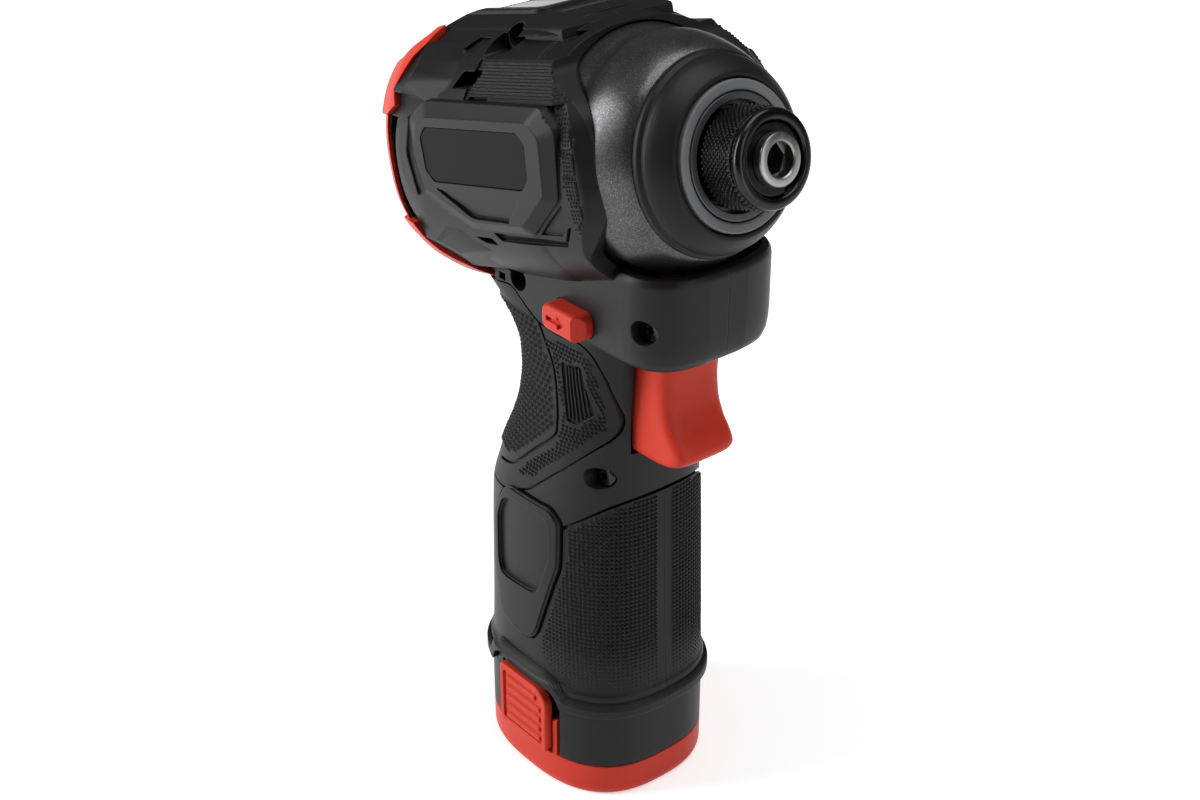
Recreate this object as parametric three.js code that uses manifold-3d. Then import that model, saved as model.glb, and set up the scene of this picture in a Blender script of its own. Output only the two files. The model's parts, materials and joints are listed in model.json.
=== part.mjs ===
// Compact cordless impact driver with a slide-in battery, in millimetres.
// The origin is the middle of the battery's flat foot; +X runs to the nose, +Y left and +Z up.
// The head is built along its own axis, with x = 0 at the nose face and the rear at negative x.
import * as THREE from 'three';
import { mergeVertices } from 'three/addons/utils/BufferGeometryUtils.js';
import Module from 'manifold-3d';

const wasm = await Module();
wasm.setup();

// Driving sizes: where the head sits over the foot
const noseReach = 59;
const headTiltDegrees = 14.04;

// Clearances and cutting overrun
const fitGap = 0.3;
const slideGap = 0.4;
const overrun = 3;
const weldTolerance = 1e-4;
const mergeTolerance = 0.05;

// Heights up the handle, from the cells in the pack to the head
const cellBase = 5.5;
const cellLength = 65;
const stickRise = 7.5;
const stickTop = cellBase + cellLength + stickRise;
const pocketHeadroom = 3.3;
const pocketTop = stickTop + pocketHeadroom;
const bladeDip = 4.2;
const bladeBottom = stickTop - bladeDip;
const blockHeight = 5.3;
const blockBottom = pocketTop + slideGap;
const blockTop = blockBottom + blockHeight;
const bladeSink = 1.6;
const bladeTop = blockTop - bladeSink;
const switchRise = 12;
const switchHeight = 27;
const switchBottom = blockTop + switchRise;
const switchTop = switchBottom + switchHeight;
const triggerHeight = 27.6;
const handleOverSwitch = 14;
const handleTop = switchTop + handleOverSwitch;
const boxDrop = 12;
const boxHeight = 23;
const boxFloorHeight = handleTop - boxDrop;
const boxRimHeight = boxFloorHeight + boxHeight;
const triggerTop = boxFloorHeight - slideGap;
const triggerBottom = triggerTop - triggerHeight;
const stemRise = 13;
const stemHeight = triggerBottom + stemRise;
const selectorRise = 6.1;
const selectorMiddle = boxFloorHeight + selectorRise;
const moduleRise = 2.8;
const moduleHeight = 9.4;
const moduleBottom = boxFloorHeight + moduleRise;
const moduleTop = moduleBottom + moduleHeight;
const headRise = 40;
const noseHeight = handleTop + headRise;

// Planetary gears, whose ring sets the width of the motor, the barrel and the hammer case
const gearModule = 1;
const sunTeeth = 8;
const planetTeeth = 16;
const ringTeeth = sunTeeth + 2 * planetTeeth;
const planetCount = 3;
const firstPlanetDegrees = 90;
const tipShare = 0.75;
const rootShare = 1.15;
const toothShare = 0.4;
const cornerLimitShare = 0.45;
const rootWiden = 1.45;
const tipNarrow = 0.5;
const ringGearWall = 3.05;
const fixedRadius = gearModule * (ringTeeth / 2 + rootShare) + ringGearWall;
const motorRoomRadius = fixedRadius + fitGap;
const caseTenon = 2.2;
const caseRoomRadius = fixedRadius - caseTenon;
const caseLip = 3.4;
const caseRearRadius = motorRoomRadius + caseLip;
const caseSwell = 5.6;
const caseNoseRadius = caseRearRadius - caseSwell;
const bootBulgeRadius = caseNoseRadius - fitGap;
const hammerClearance = 1;
const hammerRadius = caseRoomRadius - hammerClearance;
const dogInset = 1.2;
const dogOuterRadius = hammerRadius - dogInset;
const earClearance = 2.5;
const earRadius = caseRoomRadius - earClearance;
const fanClearance = 3.5;
const fanRadius = motorRoomRadius - fanClearance;

// Places along the head, from the planet carrier back to the barrel's rear face
const carrierFront = 55.5;
const carrierThickness = 3;
const carrierRear = carrierFront + carrierThickness;
const ringGearStep = 0.7;
const ringGearFront = carrierFront + ringGearStep;
const ringGearWidth = 9.3;
const ringGearRear = ringGearFront + ringGearWidth;
const coverFront = ringGearRear + fitGap;
const coverWidth = 6;
const coverRear = coverFront + coverWidth;
const windingRoom = 2.7;
const coreFront = coverRear + windingRoom;
const coreLength = 15;
const coreRear = coreFront + coreLength;
const fanFront = coreRear + windingRoom;
const fanWidth = 4.6;
const fanRear = fanFront + fanWidth;
const fanRunout = 1;
const motorRoomEnd = fanRear + fanRunout;
const rearWall = 7.7;
const barrelLength = motorRoomEnd + rearWall;

// Barrel of the housing, along the head axis
const barrelWall = 6.5;
const barrelFlattening = 1;
const barrelSide = motorRoomRadius + barrelWall;
const barrelTop = barrelSide + barrelFlattening;
const barrelBottom = barrelSide - barrelFlattening;
const waveLength = 45.6;
const barrelExponent = 2.4;
const barrelPoints = 22;

// Handle of the housing, round the pack and its cells
const cellRadius = 9;
const cellPitch = 18.3;
const packWallFront = 9.05;
const packWallSide = 5.25;
const packReach = cellPitch / 2 + cellRadius + packWallFront;
const packSide = cellPitch / 2 + cellRadius + packWallSide;
const collarFront = 0.6;
const collarSide = 0.2;
const handleReach = packReach + collarFront;
const handleSide = packSide + collarSide;
const handleFoot = 25.5;
const handleExponent = 2.6;
const handlePoints = 18;
const pocketExponent = 3;
const gripRoomHalf = 12.5;

// Open box under the hammer case
const boxFront = 45.2;
const boxSide = 19.4;
const boxBack = 14;
const boxWall = 2.4;
const boxEdge = 1.2;
const boxRoomBack = 5;

// Room for the motor and for the hammer case
const caseRoomStart = 48;

// Side panel, top plateau and their plates
const panelInset = 16.9;
const panelBack = barrelLength - panelInset;
const panelBevel = 1.6;
const padProud = 0.6;
const panelProud = 0.8;
const panelSide = barrelSide + panelProud;
const panelSink = 1.5;
const panelRoot = motorRoomRadius + panelSink;
const plateFront = 44;
const plateBack = 83;
const plateTop = 11;
const plateBottom = 1.6;
const plateCorner = 2.5;
const plateThickness = 0.6;
const plateRecess = 1.05;
const plateauFront = 50;
const plateauInset = 12.5;
const plateauBack = barrelLength - plateauInset;
const plateauProud = 0.4;
const plateauHeight = barrelTop + plateauProud;
const plateauSlope = 3;
const plateauFootHeight = plateauHeight - plateauSlope;
const plateauSink = 0.5;
const plateauRoot = motorRoomRadius + plateauSink;
const plateauHalf = 11;
const plateauFootHalf = 15.6;
const capPlateFront = 63;
const capPlateInset = 6;
const capPlateBack = plateauBack - capPlateInset;
const capPlateHalf = 8;
const capPlateRecess = 1.6;

// Battery pack
const packExponent = 2.6;
const trayHeight = 11;
const trayFloor = 3;
const trayWall = 2.4;
const bandTop = 25.2;
const stickLid = 1.8;
const boardHalf = 15.2;
const roomCornerSteps = 4;

// Release buttons in the pack's sides
const buttonBack = 10.5;
const buttonFront = 11.5;
const buttonBottom = 4.5;
const buttonTop = 28;
const buttonProud = 0.9;
const buttonFace = packSide + buttonProud;
const buttonThickness = 2.6;
const buttonTravel = 1.5;
const archTop = 31;
const archDrop = 1.6;
const archFoot = 10;
const archShoulder = 2;
const buttonSlope = 1.5;
const trayBevel = 1.6;
const trayBevelHeight = 2.88;
const trayBevelStep = 1.12;

// Trigger and its switch
const triggerHalf = 9;
const triggerBack = 24;
const triggerReach = 41;
const triggerCorner = 4.5;
const triggerCornerStep = 1.35;
const triggerTravel = 6.5;
const stemRadius = 2.5;
const stemEnd = 4;
const stemSpringRadius = 4.6;
const springSeat = 8;
const switchFront = 17.2;
const switchBack = 8;
const switchHalf = 8;
const ribInset = 3.5;
const ribThickness = 2;

// Direction selector
const selectorCentre = 16;
const selectorHalfLength = 6.4;
const selectorHalfHeight = 3.2;
const selectorProud = 4.6;
const selectorTravel = 4.2;

// Housing screws: [along X, height, depth of the head's seat]
const screwHeadRadius = 2.7;
const screwHeadHeight = 2.1;
const screwShankRadius = 1.3;
const screwReach = 10.5;
const screwHoleGap = 0.25;
const bossRadius = 3.5;
const boxScrewRise = 10.5;
const gripScrewDrop = 7;
const neckScrewDrop = 3.6;
const boxScrew = { x: 38, z: boxFloorHeight + boxScrewRise, seat: 14 };
const gripScrew = { x: 20, z: triggerBottom - gripScrewDrop, seat: 12 };
const neckScrew = { x: -4.5, z: handleTop - neckScrewDrop, seat: 14.5 };
const topScrewAlong = 62;
const topScrewRise = 27.8;
const topScrewSeat = 14;

// Hammer case, boot and lamp, as distances behind the nose face
const caseFrontFace = 15;
const caseRear = 55.8;
const caseShoulder = 47.7;
const caseMouthRadius = 10.6;
const caseNeckRadius = 13.2;
const caseNoseStart = 21.3;
const bootFront = 13;
const bootRearEdge = 21;
const bootMouthRadius = 17.5;
const bootInnerRadius = 16.3;
const bootSeat = 3.2;
const lampInnerRadius = 13.75;
const lampOuterRadius = 16;
const lampFront = 12.5;
const lampDepth = 3.5;
const lampBoardThickness = 1.3;
const nickelRingInner = 11.75;
const nickelRingOuter = 13.45;
const nickelRingFront = 12.4;
const nickelRingDepth = 2.3;
const nickelGapMiddle = -50;
const nickelGapHalf = 14;

// Anvil and quick-change sleeve
const anvilRadius = 5.75;
const anvilChamfer = 0.5;
const hexAcrossFlats = 6.35;
const hexDepth = 17;
const hexMouthRadius = 3.75;
const journalRadius = 7;
const journalFront = 17.8;
const bushingFront = 18.5;
const bushingRear = 27.3;
const bushingOuterRadius = 9.3;
const earFront = 27.9;
const earRear = 33;
const earHalfDegrees = 17;
const earHubRadius = 9.5;
const pilotRadius = 3;
const pilotFront = 21.6;
const sleeveFront = 1.5;
const sleeveRimRadius = 10.5;
const sleeveBarrelRadius = 10.9;
const sleeveKnurlRear = 12.7;
const sleeveRear = 17.4;
const sleeveTailRadius = 9.6;
const sleeveRoomRadius = 8;
const sleeveLandFront = 11.5;
const sleeveLandRear = 14.3;
const sleeveTravel = 4.5;
const clipFront = 2.4;
const clipThickness = 1;
const clipInnerRadius = 5.2;
const clipOuterRadius = 7.6;
const clipGapDegrees = 70;
const detentRadius = 1.6;
const detentBack = 13;
const detentOffset = 4.3;

// Hammer, its spring and the camshaft
const hammerFront = 33.4;
const hammerRear = 48.6;
const hammerTravel = 6;
const dogFront = 28.2;
const dogInnerRadius = 10;
const dogHalfDegrees = 24;
const dogGapDegrees = 1.2;
const camRadius = 6.5;
const recessInner = 10.2;
const recessOuter = 17.4;
const recessFront = 39;
const washerThickness = 1.2;
const springInner = 11;
const springOuter = 16.2;
const carrierRadius = 17.5;
const camBallRadius = 2.4;
const camBallBack = 36.4;
const camBallOffset = 7.2;

// Gear widths
const planetWidth = 6;
const planetPinRadius = 2.2;

// Gear cover, bearings and motor
const coverWeb = 1.7;
const coverHoleRadius = 4.9;
const frontBearingRadius = 8;
const frontBearingWidth = 3.7;
const rearBearingRadius = 7;
const rearBearingWidth = 3.6;
const bearingRaceShare = 0.28;
const shaftRadius = 2.5;
const rotorRadius = 14.1;
const statorBore = 14.6;
const statorShoe = 1.5;
const statorYoke = 3.6;
const slotCount = 6;
const statorToothHalf = 2.5;
const statorShoeDegrees = 24;
const coilThickness = 1.9;
const endRingWidth = 1.8;
const fanDisc = 1.2;
const fanHubRadius = 5;
const fanBlades = 7;
const fanBladeThickness = 1.2;

// Rear bumper
const bumperProud = 1.5;
const bumperLipDepth = 7;
const bumperLip = barrelLength - bumperLipDepth;
const bumperPadDepth = 19.5;
const bumperPadFront = barrelLength - bumperPadDepth;
const bumperPadStart = 15;
const bumperTopHalf = 14;
const bumperWindow = 19;
const bumperSink = 0.6;
const ventArcHalf = 12;
const ventArcWidth = 3;

// Soft grips and the hand badge
const gripDepth = 1.2;
const ridgeProud = 0.4;
const ridgeStart = 88;
const ridgePitch = 8.3;
const ridgeHeight = 5;
const ridgeCount = 5;
const badgeProud = 0.5;
const badgeDepth = 0.7;

// Electrics inside the handle and the box
const moduleBack = 24;
const moduleFront = 34;
const moduleHalf = 15.5;
const blockBack = 14.8;
const blockFront = 19.5;
const bladeCount = 4;
const bladePitch = 6;
const bladeThickness = 0.8;
const bladeHalfWidth = 4;
const boardThickness = 1.4;
const clipBlockHalf = 1.9;
const clipBlockHeight = 3.4;
const cableRadius = 1.1;
const cableSteps = 8;

// Facets
const roundSides = 20;
const innerSides = 12;
const smallSides = 8;
const cornerSteps = 2;

const fullTurn = Math.PI * 2;
const degree = Math.PI / 180;
const headTilt = headTiltDegrees * degree;

// Materials
function finish(hex, roughness, metalness = 0) {
  return new THREE.MeshStandardMaterial({ color: hex, roughness, metalness, flatShading: true });
}
const materials = {
  shell: finish(0x2e2e30, 0.6),
  soft: finish(0x232324, 0.88),
  red: finish(0xbe4637, 0.5),
  case: finish(0x3b3b3e, 0.42, 0.6),
  boot: finish(0x1f1f20, 0.9),
  oxide: finish(0x1b1b1d, 0.35, 0.85),
  steel: finish(0xb4b4b4, 0.32, 1),
  lamp: finish(0xd9dbdd, 0.4),
  nickel: finish(0xa9abad, 0.3, 0.9),
  bronze: finish(0xa9844a, 0.5, 0.9),
  copper: finish(0xb06a3a, 0.4, 0.9),
  laminate: finish(0x6d6f73, 0.5, 0.8),
  board: finish(0x1f5a3a, 0.6),
  plate: finish(0x19191b, 0.45),
  bare: finish(0xc9c9c9, 0.5),
  cell: finish(0x3f7fb5, 0.5),
  wire: finish(0x8c2f2a, 0.6),
  plastic: finish(0x3a3a3c, 0.6),
};

// A closed geometry as a solid, with shared corners merged and its faces pointing out
function solid(geometry) {
  const bare = new THREE.BufferGeometry();
  bare.setAttribute('position', geometry.getAttribute('position'));
  bare.setIndex(geometry.index);
  const welded = mergeVertices(bare, weldTolerance);
  const corners = welded.getAttribute('position');
  const [a, b, c] = [new THREE.Vector3(), new THREE.Vector3(), new THREE.Vector3()];
  const faces = [];
  let volume = 0;
  for (let i = 0; i < welded.index.count; i += 3) {
    const face = [0, 1, 2].map((k) => welded.index.getX(i + k));
    if (new Set(face).size === 3) {
      faces.push(face);
      [a, b, c].forEach((corner, k) => corner.fromBufferAttribute(corners, face[k]));
      volume += a.dot(b.cross(c));
    }
  }
  const outward = volume > 0 ? faces : faces.map(([p, q, r]) => [p, r, q]);
  return new wasm.Manifold(new wasm.Mesh({
    numProp: 3,
    vertProperties: Float32Array.from(corners.array),
    triVerts: Uint32Array.from(outward.flat()),
  }));
}

function geometryOf(body) {
  const mesh = body.getMesh();
  const geometry = new THREE.BufferGeometry();
  geometry.setAttribute('position', new THREE.BufferAttribute(mesh.vertProperties, 3));
  geometry.setIndex(new THREE.BufferAttribute(mesh.triVerts, 1));
  return geometry;
}

function moved(body, matrix) {
  return solid(geometryOf(body).applyMatrix4(matrix));
}

function join(bodies) {
  return bodies.reduce((whole, body) => whole.add(body));
}

// Outlines are lists of [u, v] points; roundedShape softens every corner
function plainShape(points) {
  return new THREE.Shape(points.map(([u, v]) => new THREE.Vector2(u, v)));
}

function roundedShape(points, radius) {
  const shape = new THREE.Shape();
  points.forEach(([u, v], i) => {
    const corner = new THREE.Vector2(u, v);
    const towards = (step) => {
      const other = new THREE.Vector2(...points[(i + step + points.length) % points.length]);
      const share = Math.min(radius / corner.distanceTo(other), cornerLimitShare);
      return corner.clone().lerp(other, share);
    };
    const enter = towards(-1);
    const leave = towards(1);
    if (i === 0) {
      shape.moveTo(enter.x, enter.y);
    } else {
      shape.lineTo(enter.x, enter.y);
    }
    shape.quadraticCurveTo(u, v, leave.x, leave.y);
  });
  shape.closePath();
  return shape;
}

// Each edge moved outward by grow and met again at the corners
function offsetOutline(points, grow) {
  const area = points.reduce((sum, [u, v], i) => {
    const [nextU, nextV] = points[(i + 1) % points.length];
    return sum + u * nextV - nextU * v;
  }, 0);
  const side = Math.sign(area) * grow;
  return points.map(([u, v], i) => {
    const [beforeU, beforeV] = points[(i + points.length - 1) % points.length];
    const [afterU, afterV] = points[(i + 1) % points.length];
    const inward = new THREE.Vector2(u - beforeU, v - beforeV).normalize();
    const onward = new THREE.Vector2(afterU - u, afterV - v).normalize();
    const normal = new THREE.Vector2(inward.y + onward.y, -inward.x - onward.x).normalize();
    const reach = side / (normal.x * inward.y - normal.y * inward.x);
    return [u + normal.x * reach, v + normal.y * reach];
  });
}

function circlePoints(radius, sides, centre = [0, 0], phase = 0) {
  return Array.from({ length: sides }, (_, i) => {
    const angle = phase + (fullTurn * i) / sides;
    return [centre[0] + radius * Math.cos(angle), centre[1] + radius * Math.sin(angle)];
  });
}

// Views: an outline in the side view is extruded along Y, in plan along Z, in front view along X
const xAxis = new THREE.Vector3(1, 0, 0);
const yAxis = new THREE.Vector3(0, 1, 0);
const zAxis = new THREE.Vector3(0, 0, 1);
const sideView = {
  basis: new THREE.Matrix4().makeBasis(xAxis, zAxis, yAxis.clone().negate()),
  start: (from, to) => [0, to, 0],
};
const planView = { basis: new THREE.Matrix4(), start: (from) => [0, 0, from] };
const frontView = {
  basis: new THREE.Matrix4().makeBasis(yAxis, zAxis, xAxis),
  start: (from) => [from, 0, 0],
};

function prism(shape, view, from, to) {
  const options = { depth: to - from, bevelEnabled: false, curveSegments: cornerSteps };
  const geometry = new THREE.ExtrudeGeometry(shape, options);
  return solid(geometry.applyMatrix4(view.basis).translate(...view.start(from, to)));
}

function block([xFrom, xTo], [yFrom, yTo], [zFrom, zTo]) {
  const geometry = new THREE.BoxGeometry(xTo - xFrom, yTo - yFrom, zTo - zFrom);
  return solid(geometry.translate((xFrom + xTo) / 2, (yFrom + yTo) / 2, (zFrom + zTo) / 2));
}

function rod(radius, sides, view, centre, from, to) {
  return prism(plainShape(circlePoints(radius, sides, centre)), view, from, to);
}

function ball(radius, [x, y, z]) {
  const geometry = new THREE.SphereGeometry(radius, smallSides, smallSides / 2);
  return solid(geometry.translate(x, y, z));
}

// A closed profile of [distance behind the nose, radius] turned about the head axis
function turned(profile, sides = roundSides) {
  const points = profile.map(([back, radius]) => new THREE.Vector2(radius, -back));
  points.push(points[0].clone());
  return solid(new THREE.LatheGeometry(points, sides).rotateZ(-Math.PI / 2));
}

function tube(innerRadius, outerRadius, front, rear, sides = roundSides) {
  return turned(
    [[front, innerRadius], [front, outerRadius], [rear, outerRadius], [rear, innerRadius]],
    sides,
  );
}

function disc(radius, front, rear, sides = roundSides) {
  return turned([[front, 0], [front, radius], [rear, radius], [rear, 0]], sides);
}

// A skin over rings of equal point counts, closed by a fan at each end
function loft(rings) {
  const count = rings[0].length;
  const middle = (ring) => ring
    .reduce((sum, point) => sum.add(point), new THREE.Vector3())
    .divideScalar(count);
  const last = (rings.length - 1) * count;
  const points = [...rings.flat(), middle(rings[0]), middle(rings[rings.length - 1])];
  const faces = [];
  for (let i = 0; i < count; i += 1) {
    const next = (i + 1) % count;
    for (let start = 0; start < last; start += count) {
      faces.push(start + i, start + next, start + count + next);
      faces.push(start + i, start + count + next, start + count + i);
    }
    faces.push(points.length - 2, next, i);
    faces.push(points.length - 1, last + i, last + next);
  }
  const geometry = new THREE.BufferGeometry().setFromPoints(points);
  geometry.setIndex(faces);
  return solid(geometry);
}

// One point of a squared-off oval, as shares of its two half widths
function ovalShare(angle, exponent) {
  const bend = (value) => Math.sign(value) * Math.abs(value) ** (2 / exponent);
  return [bend(Math.cos(angle)), bend(Math.sin(angle))];
}

// Straight-line reading of a table whose rows start with the place along it
function readTable(rows, place) {
  const upper = Math.max(1, rows.findIndex(([at]) => at >= place));
  const [low, high] = [rows[upper - 1], rows[upper]];
  const share = (place - low[0]) / (high[0] - low[0]);
  return low.map((value, i) => value + (high[i] - value) * share);
}

// The head frame placed in the object, for pieces cut out of the housing
const headFrame = new THREE.Matrix4()
  .makeRotationY(-headTilt)
  .setPosition(noseReach, 0, noseHeight);

function inObject(body) {
  return moved(body, headFrame);
}

// Barrel rings from front to rear: [along, side, top, bottom] shares of the barrel's sizes
const barrelShares = [
  [0.251, 0.925, 0.882, 0.93],
  [0.412, 0.978, 0.903, 0.97],
  [0.4474, 0.985, 0.928, 0.98],
  [0.4512, 0.99, 0.975, 0.985],
  [0.521, 1, 1, 1],
  [0.834, 1, 1, 0.99],
  [0.91, 0.974, 0.97, 0.96],
  [0.962, 0.918, 0.925, 0.915],
  [0.9905, 0.823, 0.845, 0.835],
  [1, 0.71, 0.75, 0.735],
];

function barrel(grow) {
  const rings = barrelShares.map(([along, side, top, bottom], ring) => {
    const rearward = ring > barrelShares.length - 3 ? grow : 0;
    return Array.from({ length: barrelPoints }, (_, i) => {
      const [u, v] = ovalShare((fullTurn * i) / barrelPoints, barrelExponent);
      const rise = v > 0 ? barrelTop * top : barrelBottom * bottom;
      return new THREE.Vector3(
        -barrelLength * along - rearward,
        u * (barrelSide * side + grow),
        v * (rise + grow),
      );
    });
  });
  return loft(rings);
}

// Handle rings upward: [height, front, rear, side] shares of the handle's sizes
const handleShares = [
  [0.182, 1, 1, 1],
  [0.221, 1, 1, 1],
  [0.229, 0.979, 0.979, 0.97],
  [0.536, 0.928, 0.943, 0.926],
  [0.6, 0.921, 0.845, 0.9],
  [0.643, 0.921, 0.755, 0.878],
  [0.693, 0.928, 0.622, 0.857],
  [0.75, 0.935, 0.511, 0.839],
  [0.807, 0.935, 0.468, 0.831],
  [0.85, 0.935, 0.489, 0.831],
  [0.886, 0.946, 0.612, 0.831],
  [0.914, 0.964, 0.81, 0.831],
  [0.95, 0.989, 1.115, 0.827],
  [1, 1.007, 1.295, 0.805],
];
const handleTable = handleShares.map(([height, front, rear, side]) => [
  height * handleTop,
  front * handleReach,
  rear * handleReach,
  side * handleSide,
]);

function ovalRing(front, rear, side, height, exponent) {
  return Array.from({ length: handlePoints }, (_, i) => {
    const [u, v] = ovalShare((fullTurn * i) / handlePoints, exponent);
    const middle = (front - rear) / 2;
    return new THREE.Vector3(middle + (u * (front + rear)) / 2, v * side, height);
  });
}

function handle(inset, from, to) {
  const between = handleTable.map(([height]) => height).filter((at) => at > from && at < to);
  return loft([from, ...between, to].map((height) => {
    const [, front, rear, side] = readTable(handleTable, height);
    return ovalRing(front - inset, rear - inset, side - inset, height, handleExponent);
  }));
}

// Front half of the box outline seen from above, as [behind the front, beside the middle]
const boxCornerShares = [[0, 0.31], [0.022, 0.56], [0.058, 0.76], [0.159, 0.99], [0.19, 1]];

function boxOutline(back) {
  const corner = boxCornerShares.map(([behind, beside]) => [
    boxFront - behind * boxFront,
    beside * boxSide,
  ]);
  const mirrored = corner.map(([x, y]) => [x, -y]).reverse();
  return [[back, -boxSide], ...mirrored, ...corner, [back, boxSide]];
}

function boxRing(inset, height) {
  return offsetOutline(boxOutline(-boxBack), -inset)
    .map(([x, y]) => new THREE.Vector3(x, y, height));
}

function frontBox() {
  return loft([
    boxRing(boxEdge, boxFloorHeight),
    boxRing(0, boxFloorHeight + boxEdge),
    boxRing(0, boxRimHeight - boxEdge / 2),
    boxRing(boxEdge / 2, boxRimHeight),
  ]);
}

// Outer line of the hammer case from its nose to its shoulder
const caseLineShares = [[0, 0], [0.1, 0.27], [0.3, 0.56], [0.54, 0.83], [0.78, 0.97], [1, 1]];

function caseLine(grow) {
  return caseLineShares.map(([along, up]) => [
    caseNoseStart + along * (caseShoulder - caseNoseStart),
    caseNoseRadius + up * (caseRearRadius - caseNoseRadius) + grow,
  ]);
}

// Side view cut that gives the wings their wavy front edge: [along, rise] shares
const waveShares = [
  [0, 1.13], [0.904, 1.13], [0.904, 0.794], [0.89, 0.7], [0.833, 0.628], [0.715, 0.497], [0.654, 0.394],
  [0.627, 0.263], [0.61, 0.106], [0.603, -0.081], [0.627, -0.275], [0.711, -0.425], [0.794, -0.55],
  [0.794, -1.32], [0, -1.32],
];

function frontTrim() {
  const edge = waveShares.map(([along, rise]) => [-waveLength * along, barrelTop * rise]);
  return prism(plainShape(edge), sideView, -barrelSide - overrun, barrelSide + overrun);
}

// An outline with its corners cut back, as on the side panel and its plate
function clippedBox(front, back, bottom, top, corner) {
  return [
    [-back, bottom + corner], [-back + corner, bottom], [-front - corner, bottom],
    [-front, bottom + corner], [-front, top - corner], [-front - corner, top],
    [-back + corner, top], [-back, top - corner],
  ];
}

// Side panel's foot and face, as [behind the nose, rise] shares of the barrel's length and height
const panelFootShares = [
  [0.832, 0.406], [0.773, 0.512], [0.366, 0.5], [0.331, 0.366], [0.348, -0.113], [0.442, -0.369],
  [0.667, -0.369], [0.83, -0.144], [0.853, 0.15],
];
const panelFaceShares = [
  [0.802, 0.369], [0.764, 0.45], [0.402, 0.438], [0.372, 0.306], [0.383, -0.1], [0.461, -0.294],
  [0.658, -0.294], [0.802, -0.113], [0.821, 0.144],
];

function sidePanel(side) {
  const ring = (shares, beside) => shares.map(([behind, rise]) => (
    new THREE.Vector3(-behind * barrelLength, side * beside, rise * barrelTop)));
  return loft([
    ring(panelFootShares, panelRoot),
    ring(panelFootShares, panelSide - panelBevel),
    ring(panelFaceShares, panelSide),
  ]);
}

// Four grip pads on each wing, before the side panel
const padShares = [
  [[0.739, 0.384], [0.667, 0.4], [0.636, 0.341], [0.654, 0.244], [0.761, 0.225]],
  [[0.785, 0.175], [0.664, 0.184], [0.675, 0.05], [0.796, 0.031]],
  [[0.798, -0.009], [0.678, 0], [0.662, -0.134], [0.8, -0.134]],
  [[0.774, -0.181], [0.66, -0.169], [0.621, -0.253], [0.717, -0.325]],
];

function wingPads() {
  const pads = padShares.map((shares) => prism(
    plainShape(shares.map(([along, rise]) => [-waveLength * along, barrelTop * rise])),
    sideView,
    -barrelSide - overrun,
    barrelSide + overrun,
  ));
  return join(pads).intersect(barrel(padProud)).subtract(barrel(-padProud));
}

function plateau() {
  const section = [
    [-plateauFootHalf, plateauRoot], [-plateauFootHalf, plateauFootHeight],
    [-plateauHalf, plateauHeight], [plateauHalf, plateauHeight],
    [plateauFootHalf, plateauFootHeight], [plateauFootHalf, plateauRoot],
  ];
  return prism(plainShape(section), frontView, -plateauBack, -plateauFront);
}

// Vents and pockets in the barrel's sides: [front, back, bottom, top] behind the nose
const ventShares = [
  [0.598, 0.682, 0.61, 0.69],
  [0.573, 0.635, -0.47, -0.42],
];
const ventRoot = 17;

function sideVents() {
  return join(ventShares.flatMap(([front, back, bottom, top]) => [1, -1].map((side) => {
    const along = [-back * barrelLength, -front * barrelLength];
    const beside = [side * ventRoot, side * (barrelSide + overrun)].sort((p, q) => p - q);
    return block(along, beside, [bottom * barrelTop, top * barrelTop]);
  })));
}

function rearVents() {
  const arcHeight = barrelSide;
  const outer = rod(arcHeight, roundSides, sideView, [arcHeight - bumperLip, 0], -barrelSide, barrelSide);
  const innerCentre = [arcHeight - bumperLip + ventArcWidth, 0];
  const inner = rod(arcHeight, roundSides, sideView, innerCentre, -barrelSide, barrelSide);
  const window = block(
    [-bumperLip - overrun, -panelBack],
    [-barrelSide - overrun, barrelSide + overrun],
    [-ventArcHalf, ventArcHalf],
  );
  const middle = block(
    [-bumperLip - overrun, -panelBack],
    [-motorRoomRadius + overrun, motorRoomRadius - overrun],
    [-ventArcHalf - overrun, ventArcHalf + overrun],
  );
  return outer.subtract(inner).intersect(window).subtract(middle);
}

// Screws run across the housing, from the right half into the left
const topScrew = {
  x: noseReach - topScrewAlong * Math.cos(headTilt) - topScrewRise * Math.sin(headTilt),
  z: noseHeight - topScrewAlong * Math.sin(headTilt) + topScrewRise * Math.cos(headTilt),
  seat: topScrewSeat,
};
const screws = { box: boxScrew, grip: gripScrew, neck: neckScrew, top: topScrew };

function screwBody({ x, z, seat }, gap) {
  const head = rod(screwHeadRadius + gap, smallSides, sideView, [x, z],
    -seat - (gap > 0 ? barrelSide : screwHeadHeight), -seat + gap);
  const shank = rod(screwShankRadius + gap, smallSides, sideView, [x, z],
    -seat - screwHeadHeight / 2, screwReach + gap);
  return head.add(shank);
}

function bosses() {
  const reach = [-barrelSide, barrelSide];
  return join([boxScrew, gripScrew, neckScrew].map(({ x, z }) => (
    rod(bossRadius, smallSides, sideView, [x, z], ...reach))));
}

const switchRibHeights = [switchBottom + ribInset, switchTop - ribInset - ribThickness];

function switchRibs() {
  return join(switchRibHeights.flatMap((height) => [1, -1].map((side) => {
    const beside = [side * (switchHalf + fitGap), side * handleSide].sort((p, q) => p - q);
    return block([-switchBack, switchFront - springSeat], beside, [height, height + ribThickness]);
  })));
}

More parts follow.
